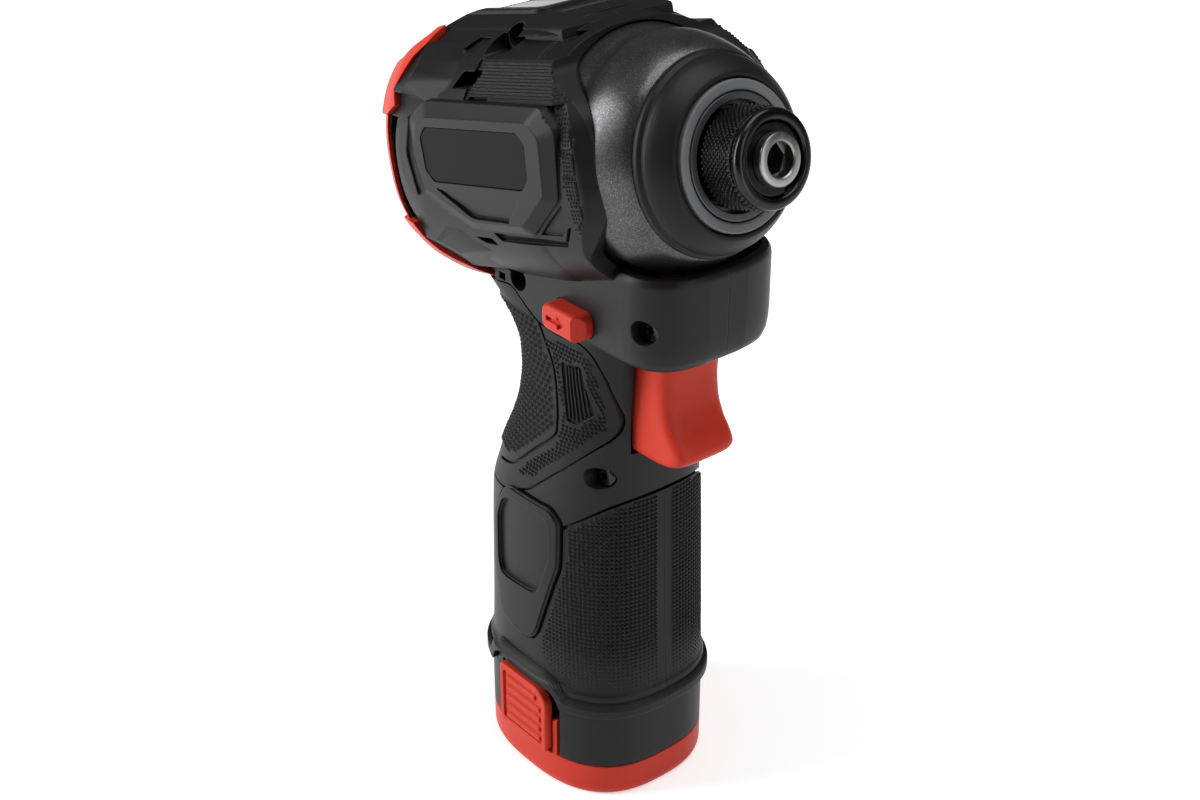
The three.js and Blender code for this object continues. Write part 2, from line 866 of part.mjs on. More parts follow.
// Rooms inside the housing
function motorRoom() {
  const bore = [
    [motorRoomEnd + rearBearingWidth + fitGap * 2, 0],
    [motorRoomEnd + rearBearingWidth + fitGap * 2, rearBearingRadius + fitGap],
    [motorRoomEnd, rearBearingRadius + fitGap],
    [motorRoomEnd, motorRoomRadius],
    [caseRoomStart, motorRoomRadius],
  ];
  const mouth = caseLine(slideGap).reverse();
  const bootGap = caseNoseRadius + slideGap * 3;
  return turned([...bore, [caseRoomStart, caseRearRadius + slideGap], ...mouth.slice(0, -1),
    [caseNoseStart, bootGap], [-overrun, bootGap], [-overrun, 0]]);
}

function boxRoom() {
  const outline = offsetOutline(boxOutline(boxRoomBack), -boxWall);
  return prism(plainShape(outline), planView, boxFloorHeight + boxWall, boxRimHeight + overrun);
}

function triggerSlot(gap) {
  return block(
    [switchFront, triggerReach + overrun * 2],
    [-triggerHalf - gap, triggerHalf + gap],
    [triggerBottom - gap, triggerTop + gap],
  );
}

function selectorSlot(gap) {
  return block(
    [selectorCentre - selectorHalfLength - gap, selectorCentre + selectorHalfLength + gap],
    [-barrelSide, barrelSide],
    [selectorMiddle - selectorHalfHeight - gap, selectorMiddle + selectorHalfHeight + gap],
  );
}

// The arch over each release button, in the side view
function archShape(grow) {
  const outline = [
    [-buttonBack - archFoot, handleFoot - overrun], [-buttonBack - archShoulder, archTop - archDrop],
    [-buttonBack + archShoulder, archTop], [buttonFront - archShoulder, archTop],
    [buttonFront + archShoulder, archTop - archDrop], [buttonFront + archFoot, handleFoot - overrun],
  ];
  return plainShape(offsetOutline(outline, grow));
}

// Regions of the soft grips and of the hand badge in the side view
const gripUpperShares = [
  [-1.295, 0.864], [-0.629, 0.889], [-0.432, 0.94], [-0.255, 0.953], [-0.076, 0.934],
  [0.396, 0.91], [0.64, 0.916], [0.755, 0.901], [0.813, 0.867], [0.86, 0.776],
  [0.824, 0.744], [0.525, 0.685], [0.007, 0.593], [-0.36, 0.562], [-1.295, 0.545],
];
const gripLowerShares = [
  [0.464, 0.554], [0.608, 0.576], [0.824, 0.61], [0.935, 0.621], [1.439, 0.621],
  [1.439, 0.226], [0.489, 0.226], [0.194, 0.276], [0.194, 0.307], [0.453, 0.476],
];
const badgeShares = [
  [-0.52, 0.549], [0.14, 0.578], [0.37, 0.545], [0.395, 0.48], [0.13, 0.305],
  [0, 0.283], [-0.3, 0.283], [-0.52, 0.33],
];

const palmShares = [
  [-1.295, 0.871], [-0.432, 0.911], [-0.165, 0.91], [0.043, 0.86], [0.23, 0.834],
  [0.295, 0.739], [0.245, 0.716], [-0.201, 0.637], [-1.295, 0.607],
];

function handleRegion(shares, grow) {
  const outline = shares.map(([x, z]) => [x * handleReach, z * handleTop]);
  return prism(plainShape(offsetOutline(outline, grow)), sideView, -barrelSide, barrelSide);
}

const halfSpan = [[-barrelLength, noseReach], [0, noseHeight + barrelLength]];
const half = {
  right: block(halfSpan[0], [-barrelLength, -fitGap / 2], halfSpan[1]),
  left: block(halfSpan[0], [fitGap / 2, barrelLength], halfSpan[1]),
};

function skin(depth) {
  return handle(depth, handleFoot, handleTop);
}

// Outside of the housing before its halves are parted
function housingForm() {
  const wings = barrel(0).subtract(frontTrim());
  const head = inObject(join([wings, sidePanel(1), sidePanel(-1), plateau(), wingPads()]));
  return join([head, skin(0), frontBox()]);
}

// Straight-sided room that the battery slides into, open at the foot
const pocketTopShares = { front: 0.842, rear: 0.795, side: 0.69 };
const pocketFootShares = { front: 0.9, rear: 0.896, side: 0.727 };

function pocketRing(shares, height, inset) {
  return ovalRing(shares.front * handleReach - inset, shares.rear * handleReach - inset,
    shares.side * handleReach - inset, height, pocketExponent);
}

function pocket(inset, from, to) {
  return loft([
    pocketRing(pocketFootShares, from, inset),
    pocketRing(pocketTopShares, to, inset),
  ]);
}

// Room for the switch, a wall's thickness inside the handle's front and back
const gripRoomShares = [
  [0.72, 0.57], [0.8, 0.72], [0.8, 0.93], [0.72, 1], [-0.75, 1], [-0.55, 0.925],
  [-0.34, 0.87], [-0.34, 0.78], [-0.44, 0.7], [-0.62, 0.57],
];

function gripRoom() {
  const outline = gripRoomShares.map(([x, z]) => [x * handleReach, z * handleTop]);
  return prism(plainShape(outline), sideView, -gripRoomHalf, gripRoomHalf);
}

function blockRoom() {
  return block([-blockBack - fitGap, blockFront + fitGap], [-gripRoomHalf, gripRoomHalf],
    [blockBottom - fitGap, blockTop + fitGap]);
}

function housingRooms() {
  const open = join([pocket(0, handleFoot - overrun, pocketTop), gripRoom(), blockRoom(), boxRoom()])
    .subtract(bosses().add(switchRibs()));
  return open.add(inObject(motorRoom()));
}

function housingCuts() {
  const plateOutline = clippedBox(plateFront, plateBack, -plateBottom, plateTop, plateCorner);
  const plateCut = prism(plainShape(offsetOutline(plateOutline, fitGap)), sideView,
    -panelSide - overrun, -panelSide + plateRecess);
  const capCut = block(
    [-capPlateBack - fitGap, -capPlateFront + fitGap],
    [-capPlateHalf - fitGap, capPlateHalf + fitGap],
    [plateauHeight - capPlateRecess, plateauHeight + overrun],
  );
  const headCuts = inObject(join([plateCut, capCut, sideVents(), rearVents(), bumperSeat()]));
  const arch = prism(archShape(fitGap), sideView, -barrelSide, barrelSide);
  const screwHoles = Object.values(screws).map((screw) => screwBody(screw, screwHoleGap));
  return join([headCuts, arch, triggerSlot(slideGap), selectorSlot(fitGap), ...screwHoles]);
}

function gripSeats() {
  const regions = [gripUpperShares, gripLowerShares].map((shares) => handleRegion(shares, fitGap / 2));
  const badge = handleRegion(badgeShares, fitGap / 2).intersect(half.right);
  return join(regions).subtract(skin(gripDepth + fitGap)).add(badge.subtract(skin(badgeDepth + fitGap)));
}

function grip(shares, side) {
  return handleRegion(shares, -fitGap / 2)
    .intersect(skin(0))
    .subtract(skin(gripDepth))
    .subtract(triggerSlot(slideGap))
    .intersect(half[side]);
}

// Raised bars across the palm of the upper grip
function palmRidges(side) {
  const bars = Array.from({ length: ridgeCount }, (_, i) => block(
    [-handleReach - overrun, handleReach],
    [-barrelSide, barrelSide],
    [ridgeStart + i * ridgePitch, ridgeStart + i * ridgePitch + ridgeHeight],
  ));
  return join(bars)
    .intersect(handleRegion(palmShares, 0))
    .intersect(handleRegion(gripUpperShares, -fitGap))
    .intersect(skin(-ridgeProud))
    .subtract(skin(gripDepth / 2))
    .intersect(half[side]);
}

// Bumper round the rear edge, with a pad at each corner and a thin lip between
function bumperRegion(grow) {
  const reach = barrelLength + overrun * 2;
  const upper = [
    [-reach, bumperPadStart - grow], [-bumperLip + grow, bumperPadStart - grow],
    [-bumperPadFront - overrun + grow, bumperPadStart + overrun - grow],
    [-bumperPadFront + grow, barrelTop - overrun], [-bumperPadFront + grow, barrelTop + overrun],
    [-reach, barrelTop + overrun],
  ];
  const lower = upper.map(([x, z]) => [x, -z]);
  const across = [-barrelSide - overrun, barrelSide + overrun];
  const lip = block([-reach, -bumperLip + grow], across, [-barrelTop - overrun, barrelTop + overrun]);
  const pads = [upper, lower].map((outline) => prism(plainShape(outline), sideView, ...across));
  const topGap = block([-bumperLip + grow + fitGap, 0], [-bumperTopHalf + grow, bumperTopHalf - grow],
    [-barrelTop - overrun, barrelTop + overrun]);
  return join([lip, ...pads]).subtract(topGap);
}

function bumperSeat() {
  return bumperRegion(fitGap).subtract(barrel(-bumperSink));
}

function bumper() {
  const window = disc(bumperWindow, barrelLength - overrun * 2, barrelLength + overrun * 3);
  return bumperRegion(0)
    .intersect(barrel(bumperProud))
    .subtract(barrel(fitGap - bumperSink))
    .subtract(window);
}

// Parts of the head, each about the head axis
function hammerCase() {
  const line = caseLine(0);
  return turned([
    [caseFrontFace, caseMouthRadius], [caseFrontFace, caseNeckRadius],
    [caseFrontFace + lampDepth, caseNeckRadius], [caseFrontFace + lampDepth, caseNeckRadius + bootSeat],
    [caseNoseStart, caseNoseRadius - bootSeat], ...line,
    [caseShoulder, fixedRadius], [caseRear, fixedRadius], [caseRear, caseRoomRadius],
    [earRear, caseRoomRadius], [bushingRear + fitGap, earRadius + slideGap],
    [bushingRear + fitGap, bushingOuterRadius + fitGap],
    [bushingFront - fitGap, bushingOuterRadius + fitGap], [bushingFront - fitGap, caseMouthRadius],
  ]);
}

const bootShares = [[0, 0.795], [0.19, 0.873], [0.5, 0.95], [0.875, 1], [1, 0.982]];

function noseBoot() {
  const outside = bootShares.map(([along, radius]) => [
    bootFront + along * (bootRearEdge - bootFront),
    radius * bootBulgeRadius,
  ]);
  const shelf = caseFrontFace + lampDepth - fitGap;
  return turned([
    [bootFront, bootInnerRadius], ...outside, [bootRearEdge, caseNoseRadius - bootSeat + fitGap * 1.5],
    [shelf, caseNeckRadius + bootSeat + fitGap], [shelf, bootInnerRadius],
  ]);
}

function ringPiece(innerRadius, outerRadius, front, depth) {
  return tube(innerRadius, outerRadius, front, front + depth);
}

// A wedge of the given half angle about a direction across the head axis
function wedge(middleDegrees, halfDegrees, radius, front, rear) {
  const steps = Array.from({ length: cornerSteps * 2 + 1 }, (_, i) => (
    (middleDegrees + halfDegrees * (i / cornerSteps - 1)) * degree));
  const arc = steps.map((angle) => [radius * Math.cos(angle), radius * Math.sin(angle)]);
  return prism(plainShape([[0, 0], ...arc]), frontView, -rear, -front);
}

function hexPoints(acrossFlats) {
  return circlePoints(acrossFlats / 2 / Math.cos(fullTurn / 12), 6);
}

function anvil() {
  const body = turned([
    [0, 0], [0, anvilRadius - anvilChamfer], [anvilChamfer, anvilRadius],
    [clipFront - fitGap / 2, anvilRadius], [clipFront - fitGap / 2, clipInnerRadius - fitGap],
    [clipFront + clipThickness + fitGap / 2, clipInnerRadius - fitGap],
    [clipFront + clipThickness + fitGap / 2, anvilRadius], [journalFront, anvilRadius],
    [journalFront, journalRadius], [earFront, journalRadius], [earFront, earHubRadius],
    [earRear, earHubRadius], [earRear, pilotRadius + fitGap], [pilotFront - fitGap, pilotRadius + fitGap],
    [pilotFront - fitGap, 0],
  ], innerSides);
  const ears = [0, 180].map((middle) => wedge(middle, earHalfDegrees, earRadius, earFront, earRear));
  const bore = prism(plainShape(hexPoints(hexAcrossFlats)), frontView, -hexDepth, overrun);
  const mouth = turned([
    [-overrun, 0], [-overrun, hexMouthRadius + overrun], [hexMouthRadius, 0],
  ], innerSides);
  const pilot = disc(pilotRadius + fitGap, pilotFront - fitGap, earRear + overrun, innerSides);
  const ballHole = rod(detentRadius + fitGap, smallSides, planView, [-detentBack, 0],
    -anvilRadius - overrun, anvilRadius + overrun);
  return body.add(join(ears).subtract(pilot)).subtract(join([bore, mouth, ballHole]));
}

function sleeve() {
  return turned([
    [sleeveFront, sleeveRoomRadius], [sleeveFront, sleeveRimRadius - anvilChamfer],
    [sleeveFront + anvilChamfer, sleeveRimRadius], [sleeveFront * 2, sleeveRimRadius],
    [sleeveFront * 2, sleeveBarrelRadius], [sleeveKnurlRear, sleeveBarrelRadius],
    [sleeveKnurlRear + anvilChamfer, sleeveTailRadius], [sleeveRear, sleeveTailRadius],
    [sleeveRear, sleeveRoomRadius], [sleeveLandRear, sleeveRoomRadius],
    [sleeveLandRear, anvilRadius + fitGap], [sleeveLandFront, anvilRadius + fitGap],
    [sleeveLandFront, sleeveRoomRadius],
  ]);
}

function sleeveClip() {
  const gap = wedge(-clipGapDegrees, clipGapDegrees / 2, clipOuterRadius * 2, clipFront - overrun,
    clipFront + overrun);
  return tube(clipInnerRadius, clipOuterRadius, clipFront, clipFront + clipThickness, innerSides)
    .subtract(gap);
}

function sleeveSpring() {
  return tube(anvilRadius + fitGap, sleeveRoomRadius - fitGap, clipFront + clipThickness + fitGap,
    sleeveLandFront - fitGap, innerSides);
}

function hammer() {
  const body = turned([
    [hammerFront, camRadius + fitGap], [hammerFront, hammerRadius - anvilChamfer],
    [hammerFront + anvilChamfer, hammerRadius], [hammerRear, hammerRadius],
    [hammerRear, recessOuter], [recessFront, recessOuter], [recessFront, recessInner],
    [hammerRear, recessInner], [hammerRear, camRadius + fitGap],
  ], innerSides);
  const dogTurn = earHalfDegrees + dogHalfDegrees + dogGapDegrees;
  const dogs = [dogTurn, dogTurn + 180]
    .map((middle) => wedge(middle, dogHalfDegrees, dogOuterRadius, dogFront, hammerFront + overrun));
  const hub = disc(dogInnerRadius, dogFront - overrun, hammerFront, innerSides);
  const bore = disc(camRadius + fitGap, dogFront - overrun, hammerRear + overrun, innerSides);
  const grooves = camBallPlaces().map(([x, y, z]) => (
    rod(camBallRadius + fitGap, smallSides, frontView, [y, z], x - camBallRadius - fitGap, overrun)));
  return body.add(join(dogs).subtract(hub)).subtract(join([bore, ...grooves]));
}

function camBallPlaces() {
  return [1, -1].map((side) => [-camBallBack, side * camBallOffset, 0]);
}

function camshaft() {
  const body = turned([
    [pilotFront, 0], [pilotFront, pilotRadius], [hammerFront, pilotRadius], [hammerFront, camRadius],
    [carrierFront, camRadius], [carrierFront, carrierRadius], [carrierRear, carrierRadius],
    [carrierRear, 0],
  ], innerSides);
  const seats = camBallPlaces().map((place) => ball(camBallRadius + fitGap, place));
  const pins = planetPlaces().map((place) => rod(planetPinRadius, smallSides, frontView, place,
    -carrierRear - fitGap * 2 - planetWidth, -carrierFront));
  return join([body, ...pins]).subtract(join(seats));
}

const planetRadius = ((sunTeeth + planetTeeth) * gearModule) / 2;

function planetAngle(number) {
  return firstPlanetDegrees * degree + (fullTurn * number) / planetCount;
}

function planetPlaces() {
  return Array.from({ length: planetCount }, (_, i) => [
    planetRadius * Math.cos(planetAngle(i)),
    planetRadius * Math.sin(planetAngle(i)),
  ]);
}

// Gear outline with straight flanks; share is the tooth's part of the pitch
function gearPoints(teeth, share, tip, root, centre, phase) {
  const pitchRadius = (teeth * gearModule) / 2;
  const halfTooth = (share * Math.PI) / teeth;
  return Array.from({ length: teeth }, (_, i) => {
    const middle = phase + (fullTurn * i) / teeth;
    const corners = [
      [pitchRadius - root * gearModule, -halfTooth * rootWiden], [pitchRadius + tip * gearModule,
        -halfTooth * tipNarrow],
      [pitchRadius + tip * gearModule, halfTooth * tipNarrow], [pitchRadius - root * gearModule,
        halfTooth * rootWiden],
    ];
    return corners.map(([radius, turn]) => [
      centre[0] + radius * Math.cos(middle + turn),
      centre[1] + radius * Math.sin(middle + turn),
    ]);
  }).flat();
}

// Phases that put a sun tooth in a planet space, and a planet tooth in a ring space
function planetPhase(number) {
  const angle = planetAngle(number);
  return angle + Math.PI - (Math.PI - sunTeeth * angle) / planetTeeth;
}

const ringPhase = planetAngle(0) - (planetTeeth * (planetAngle(0) - planetPhase(0))) / ringTeeth;

function planetGear(number) {
  const place = planetPlaces()[number];
  const shape = plainShape(gearPoints(planetTeeth, toothShare, tipShare, rootShare, place,
    planetPhase(number)));
  shape.holes.push(plainShape(circlePoints(planetPinRadius + fitGap, smallSides, place)));
  return prism(shape, frontView, -carrierRear - fitGap - planetWidth, -carrierRear - fitGap);
}

function ringGear() {
  const shape = plainShape(circlePoints(fixedRadius, roundSides));
  shape.holes.push(plainShape(gearPoints(ringTeeth, 1 - toothShare, rootShare, tipShare, [0, 0],
    ringPhase)));
  return prism(shape, frontView, -ringGearRear, -ringGearFront);
}

function gearCover() {
  return turned([
    [coverFront, coverHoleRadius], [coverFront, fixedRadius], [coverRear, fixedRadius],
    [coverRear, frontBearingRadius + fitGap], [coverFront + coverWeb, frontBearingRadius + fitGap],
    [coverFront + coverWeb, coverHoleRadius],
  ], innerSides);
}

// Ball bearing as two races with a shallow groove between their faces
function bearing(outerRadius, front, width) {
  const inner = shaftRadius + fitGap;
  const race = (outerRadius - inner) * bearingRaceShare;
  const groove = width * bearingRaceShare;
  return turned([
    [front, inner], [front, inner + race], [front + groove, inner + race],
    [front + groove, outerRadius - race], [front, outerRadius - race], [front, outerRadius],
    [front + width, outerRadius], [front + width, inner],
  ], innerSides);
}

function rotorShaft() {
  const pinion = prism(plainShape(gearPoints(sunTeeth, toothShare, tipShare, rootShare, [0, 0], 0)),
    frontView, -ringGearRear, -carrierRear - fitGap);
  const shaft = disc(shaftRadius, carrierRear + fitGap * 2, motorRoomEnd + rearBearingWidth, smallSides);
  return pinion.add(shaft);
}

function rotorCore() {
  return tube(shaftRadius + fitGap / 2, rotorRadius, coreFront, coreRear, innerSides);
}

function coolingFan() {
  const hub = tube(shaftRadius + fitGap / 2, fanHubRadius, fanFront, fanRear, innerSides);
  const plate = tube(fanHubRadius - fitGap, fanRadius, fanRear - fanDisc, fanRear, innerSides);
  const blades = Array.from({ length: fanBlades }, (_, i) => {
    const blade = block([-fanRear + fanDisc / 2, -fanFront], [fanHubRadius - fitGap, fanRadius],
      [-fanBladeThickness / 2, fanBladeThickness / 2]);
    return moved(blade, new THREE.Matrix4().makeRotationX((fullTurn * i) / fanBlades));
  });
  return join([hub, plate, ...blades]);
}

function statorCore() {
  const yokeInner = fixedRadius - statorYoke;
  const shape = plainShape(circlePoints(fixedRadius, roundSides));
  const bore = Array.from({ length: slotCount }, (_, i) => {
    const middle = (fullTurn * i) / slotCount;
    const at = (radius, turn) => [radius * Math.cos(middle + turn), radius * Math.sin(middle + turn)];
    const shoe = statorShoeDegrees * degree;
    const neck = (radius) => Math.asin(statorToothHalf / radius);
    const tooth = [-1, -1 / 3, 1 / 3, 1].map((share) => at(statorBore, shoe * share));
    const shoulder = statorBore + statorShoe;
    const slot = [0.36, 0.5, 0.64].map((share) => at(yokeInner, (share * fullTurn) / slotCount));
    return [
      at(yokeInner, -neck(yokeInner)), at(shoulder, -neck(shoulder)), at(shoulder, -shoe), ...tooth,
      at(shoulder, shoe), at(shoulder, neck(shoulder)), at(yokeInner, neck(yokeInner)), ...slot,
    ];
  }).flat();
  shape.holes.push(plainShape(bore));
  return prism(shape, frontView, -coreRear, -coreFront);
}

function statorCoils() {
  const inner = statorBore + statorShoe + fitGap;
  const outer = fixedRadius - statorYoke - fitGap * 4;
  const halfWidth = statorToothHalf + fitGap;
  const length = [-coreRear - fitGap, -coreFront + fitGap];
  const coils = Array.from({ length: slotCount }, (_, i) => {
    const around = block([length[0] - coilThickness, length[1] + coilThickness], [inner, outer],
      [-halfWidth - coilThickness, halfWidth + coilThickness]);
    const hole = block(length, [inner - overrun, outer + overrun], [-halfWidth, halfWidth]);
    return moved(around.subtract(hole), new THREE.Matrix4().makeRotationX((fullTurn * i) / slotCount));
  });
  const endRing = tube(outer - endRingWidth, outer, coreFront - fitGap - coilThickness,
    coreFront - fitGap - coilThickness / 2, innerSides);
  return join([endRing, ...coils]);
}

// Trigger: rounded rings upward with a hollowed finger face
const triggerFaceShares = [
  [0, 0.88], [0.03, 0.965], [0.13, 1], [0.22, 0.955], [0.34, 0.9], [0.5, 0.868], [0.72, 0.86],
  [0.87, 0.868], [1, 0.885],
];

function trigger() {
  const height = triggerTop - triggerBottom;
  const rings = triggerFaceShares.map(([up, reach]) => {
    const front = reach * triggerReach;
    const outline = [
      [triggerBack, -triggerHalf], [front - triggerCorner, -triggerHalf],
      [front - triggerCornerStep, -triggerHalf + triggerCornerStep],
      [front, -triggerHalf + triggerCorner], [front, triggerHalf - triggerCorner],
      [front - triggerCornerStep, triggerHalf - triggerCornerStep],
      [front - triggerCorner, triggerHalf], [triggerBack, triggerHalf],
    ];
    return outline.map(([x, y]) => new THREE.Vector3(x, y, triggerBottom + up * height));
  });
  const stem = rod(stemRadius, smallSides, frontView, [0, stemHeight], stemEnd, triggerBack + overrun);
  return loft(rings).add(stem);
}

function switchBody() {
  const body = block([-switchBack, switchFront], [-switchHalf, switchHalf], [switchBottom, switchTop]);
  const bore = rod(stemRadius + fitGap, smallSides, frontView, [0, stemHeight],
    stemEnd - triggerTravel - fitGap, switchFront + overrun);
  const springRoom = rod(stemSpringRadius + fitGap, innerSides, frontView, [0, stemHeight],
    switchFront - springSeat, switchFront + overrun);
  return body.subtract(bore.add(springRoom));
}

function triggerSpring() {
  const ring = plainShape(circlePoints(stemSpringRadius, smallSides, [0, stemHeight]));
  ring.holes.push(plainShape(circlePoints(stemRadius + fitGap, smallSides, [0, stemHeight])));
  return prism(ring, frontView, switchFront - springSeat + fitGap, triggerBack - fitGap);
}

function selector() {
  const outline = [
    [selectorCentre - selectorHalfLength, selectorMiddle - selectorHalfHeight],
    [selectorCentre + selectorHalfLength, selectorMiddle - selectorHalfHeight],
    [selectorCentre + selectorHalfLength, selectorMiddle + selectorHalfHeight],
    [selectorCentre - selectorHalfLength, selectorMiddle + selectorHalfHeight],
  ];
  return prism(roundedShape(outline, selectorHalfHeight / 2), sideView, -boxSide - selectorProud, boxSide);
}

function controlModule() {
  return block([moduleBack, moduleFront], [-moduleHalf, moduleHalf], [moduleBottom, moduleTop])
    .subtract(inObject(disc(caseRearRadius + fitGap * 2, 0, caseRear)));
}

// Battery contacts: blades in the handle's block enter clips on the pack's board
function bladePlaces() {
  return Array.from({ length: bladeCount }, (_, i) => (i - (bladeCount - 1) / 2) * bladePitch);
}

function blades(gap, bottom, top) {
  return join(bladePlaces().map((y) => block(
    [-bladeHalfWidth - gap, bladeHalfWidth + gap],
    [y - bladeThickness / 2 - gap, y + bladeThickness / 2 + gap],
    [bottom, top],
  )));
}

function terminalBlock() {
  const body = block([-blockBack, blockFront], [-gripRoomHalf + fitGap, gripRoomHalf - fitGap],
    [blockBottom, blockTop]);
  return body.add(blades(0, bladeBottom, bladeTop));
}

// The pack's board with its row of contact clips
function packBoard() {
  const bottom = cellBase + cellLength + fitGap * 2;
  const top = bottom + boardThickness;
  const board = block([-boardHalf, boardHalf], [-boardHalf, boardHalf], [bottom, top]);
  const clips = bladePlaces().map((y) => block([-bladeHalfWidth, bladeHalfWidth],
    [y - clipBlockHalf, y + clipBlockHalf], [top - fitGap, top + clipBlockHeight]));
  return join([board, ...clips]).subtract(blades(fitGap, bladeBottom - fitGap, stickTop));
}

function cell(number) {
  const place = [number < 2 ? 1 : -1, number % 2 ? 1 : -1].map((side) => (side * cellPitch) / 2);
  return rod(cellRadius, innerSides, planView, place, cellBase, cellBase + cellLength);
}

// Room round the four cells, with their own curve at each corner
function packRoom(bottom, top) {
  const outline = Array.from({ length: 4 }, (_, quarter) => (
    Array.from({ length: roomCornerSteps + 1 }, (__, step) => {
      const centre = [quarter === 0 || quarter === 3 ? 1 : -1, quarter < 2 ? 1 : -1];
      const angle = ((quarter + step / roomCornerSteps) * fullTurn) / 4;
      return [
        (centre[0] * cellPitch) / 2 + (cellRadius + fitGap) * Math.cos(angle),
        (centre[1] * cellPitch) / 2 + (cellRadius + fitGap) * Math.sin(angle),
      ];
    }))).flat();
  return prism(plainShape(outline), planView, bottom, top);
}

function packOval(rows) {
  return loft(rows.map(([inset, height]) => (
    ovalRing(packReach - inset, packReach - inset, packSide - inset, height, packExponent))));
}

function buttonShape(grow) {
  return plainShape(offsetOutline([
    [-buttonBack, buttonBottom], [buttonFront, buttonBottom], [buttonFront, buttonTop - buttonSlope],
    [buttonFront - buttonSlope, buttonTop], [-buttonBack + buttonSlope, buttonTop],
    [-buttonBack, buttonTop - buttonSlope],
  ], grow));
}

function buttonPockets() {
  const floor = buttonFace - buttonThickness - buttonTravel - fitGap;
  return join([
    prism(buttonShape(fitGap), sideView, floor, barrelSide),
    prism(buttonShape(fitGap), sideView, -barrelSide, -floor),
  ]);
}

function releaseButton(side) {
  const [low, high] = [side * (buttonFace - buttonThickness), side * buttonFace].sort((a, b) => a - b);
  return prism(buttonShape(0), sideView, low, high);
}

function packTray() {
  const form = packOval([[trayBevel, 0], [trayBevel / 4, trayBevelStep], [0, trayBevelHeight],
    [0, trayHeight]]);
  return form.subtract(packRoom(trayFloor, trayHeight + overrun)).subtract(buttonPockets());
}

function packCase() {
  const band = packOval([[0, trayHeight + fitGap], [0, bandTop]]);
  const tab = packOval([[0, bandTop - overrun], [0, archTop]])
    .intersect(prism(archShape(-fitGap), sideView, -barrelSide, barrelSide));
  const stick = pocket(fitGap, handleFoot - overrun, pocketTop)
    .subtract(block([-packReach, packReach], [-packSide, packSide], [stickTop, pocketTop + overrun]));
  const slots = blades(fitGap, stickTop - stickLid - overrun, stickTop + overrun);
  const room = packRoom(trayHeight - overrun, stickTop - stickLid);
  return join([band, tab, stick]).subtract(join([room, slots, buttonPockets()]));
}

// Sleeved motor wires, from the control module behind the selector to the stator
const cableShares = [
  [0.345, 0.9945], [0.259, 0.975], [0.245, 0.953], [0.108, 0.94], [-0.216, 0.937],
  [-0.468, 0.95], [-0.529, 0.965],
];

function motorCable() {
  const start = [(moduleBack - fitGap) / handleReach, cableShares[0][1]];
  const path = new THREE.CatmullRomCurve3([start, ...cableShares].map(([x, z]) => (
    new THREE.Vector3(x * handleReach, 0, z * handleTop))));
  const options = { extrudePath: path, steps: cableSteps, bevelEnabled: false };
  return solid(new THREE.ExtrudeGeometry(plainShape(circlePoints(cableRadius, smallSides)), options));
}

// The tool as a tree of named pieces
const tool = new THREE.Group();
const head = new THREE.Group();
head.position.set(noseReach, 0, noseHeight);
head.rotation.y = -headTilt;
tool.add(head);

function piece(name, body, material, parent = tool) {
  const mesh = new THREE.Mesh(geometryOf(body.simplify(mergeTolerance)), material);
  mesh.name = name;
  mesh.geometry.computeVertexNormals();
  parent.add(mesh);
}

const housing = housingForm().subtract(housingRooms()).subtract(join([housingCuts(), gripSeats()]));
piece('housing_right', housing.intersect(half.right), materials.shell);
piece('housing_left', housing.intersect(half.left), materials.shell);
for (const side of ['right', 'left']) {
  piece(`grip_upper_${side}`, grip(gripUpperShares, side).add(palmRidges(side)), materials.soft);
  piece(`grip_lower_${side}`, grip(gripLowerShares, side), materials.soft);
}
piece('hand_badge', handleRegion(badgeShares, -fitGap / 2).intersect(skin(-badgeProud))
  .subtract(skin(badgeDepth)).intersect(half.right), materials.plate);
piece('rating_plate', prism(plainShape(clippedBox(plateFront, plateBack, -plateBottom, plateTop,
  plateCorner)), sideView, -panelSide + fitGap / 2, -panelSide + fitGap / 2 + plateThickness),
materials.plate, head);
piece('top_plate', block([-capPlateBack, -capPlateFront], [-capPlateHalf, capPlateHalf],
  [plateauHeight - capPlateRecess + fitGap, plateauHeight - capPlateRecess + fitGap + plateThickness]),
materials.bare, head);
piece('rear_bumper', bumper(), materials.red, head);
for (const [place, screw] of Object.entries(screws)) {
  piece(`housing_screw_${place}`, screwBody(screw, 0), materials.oxide);
}

piece('hammer_case', hammerCase(), materials.case, head);
piece('nose_boot', noseBoot(), materials.boot, head);
piece('light_ring', ringPiece(lampInnerRadius, lampOuterRadius, lampFront, lampDepth), materials.lamp, head);
piece('light_board', ringPiece(caseNeckRadius + fitGap, lampOuterRadius, lampFront + lampDepth + fitGap,
  lampBoardThickness), materials.board, head);
piece('lamp_retainer', ringPiece(nickelRingInner, nickelRingOuter, nickelRingFront, nickelRingDepth)
  .subtract(wedge(nickelGapMiddle, nickelGapHalf, lampOuterRadius, nickelRingFront - overrun,
    nickelRingFront + overrun)), materials.nickel, head);
piece('anvil_bushing', tube(journalRadius + fitGap, bushingOuterRadius, bushingFront, bushingRear,
  innerSides), materials.bronze, head);
piece('anvil', anvil(), materials.steel, head);
piece('detent_ball_upper', ball(detentRadius, [-detentBack, 0, detentOffset]), materials.steel, head);
piece('detent_ball_lower', ball(detentRadius, [-detentBack, 0, -detentOffset]), materials.steel, head);
piece('chuck_sleeve', sleeve(), materials.oxide, head);
piece('sleeve_clip', sleeveClip(), materials.steel, head);
piece('sleeve_spring', sleeveSpring(), materials.steel, head);

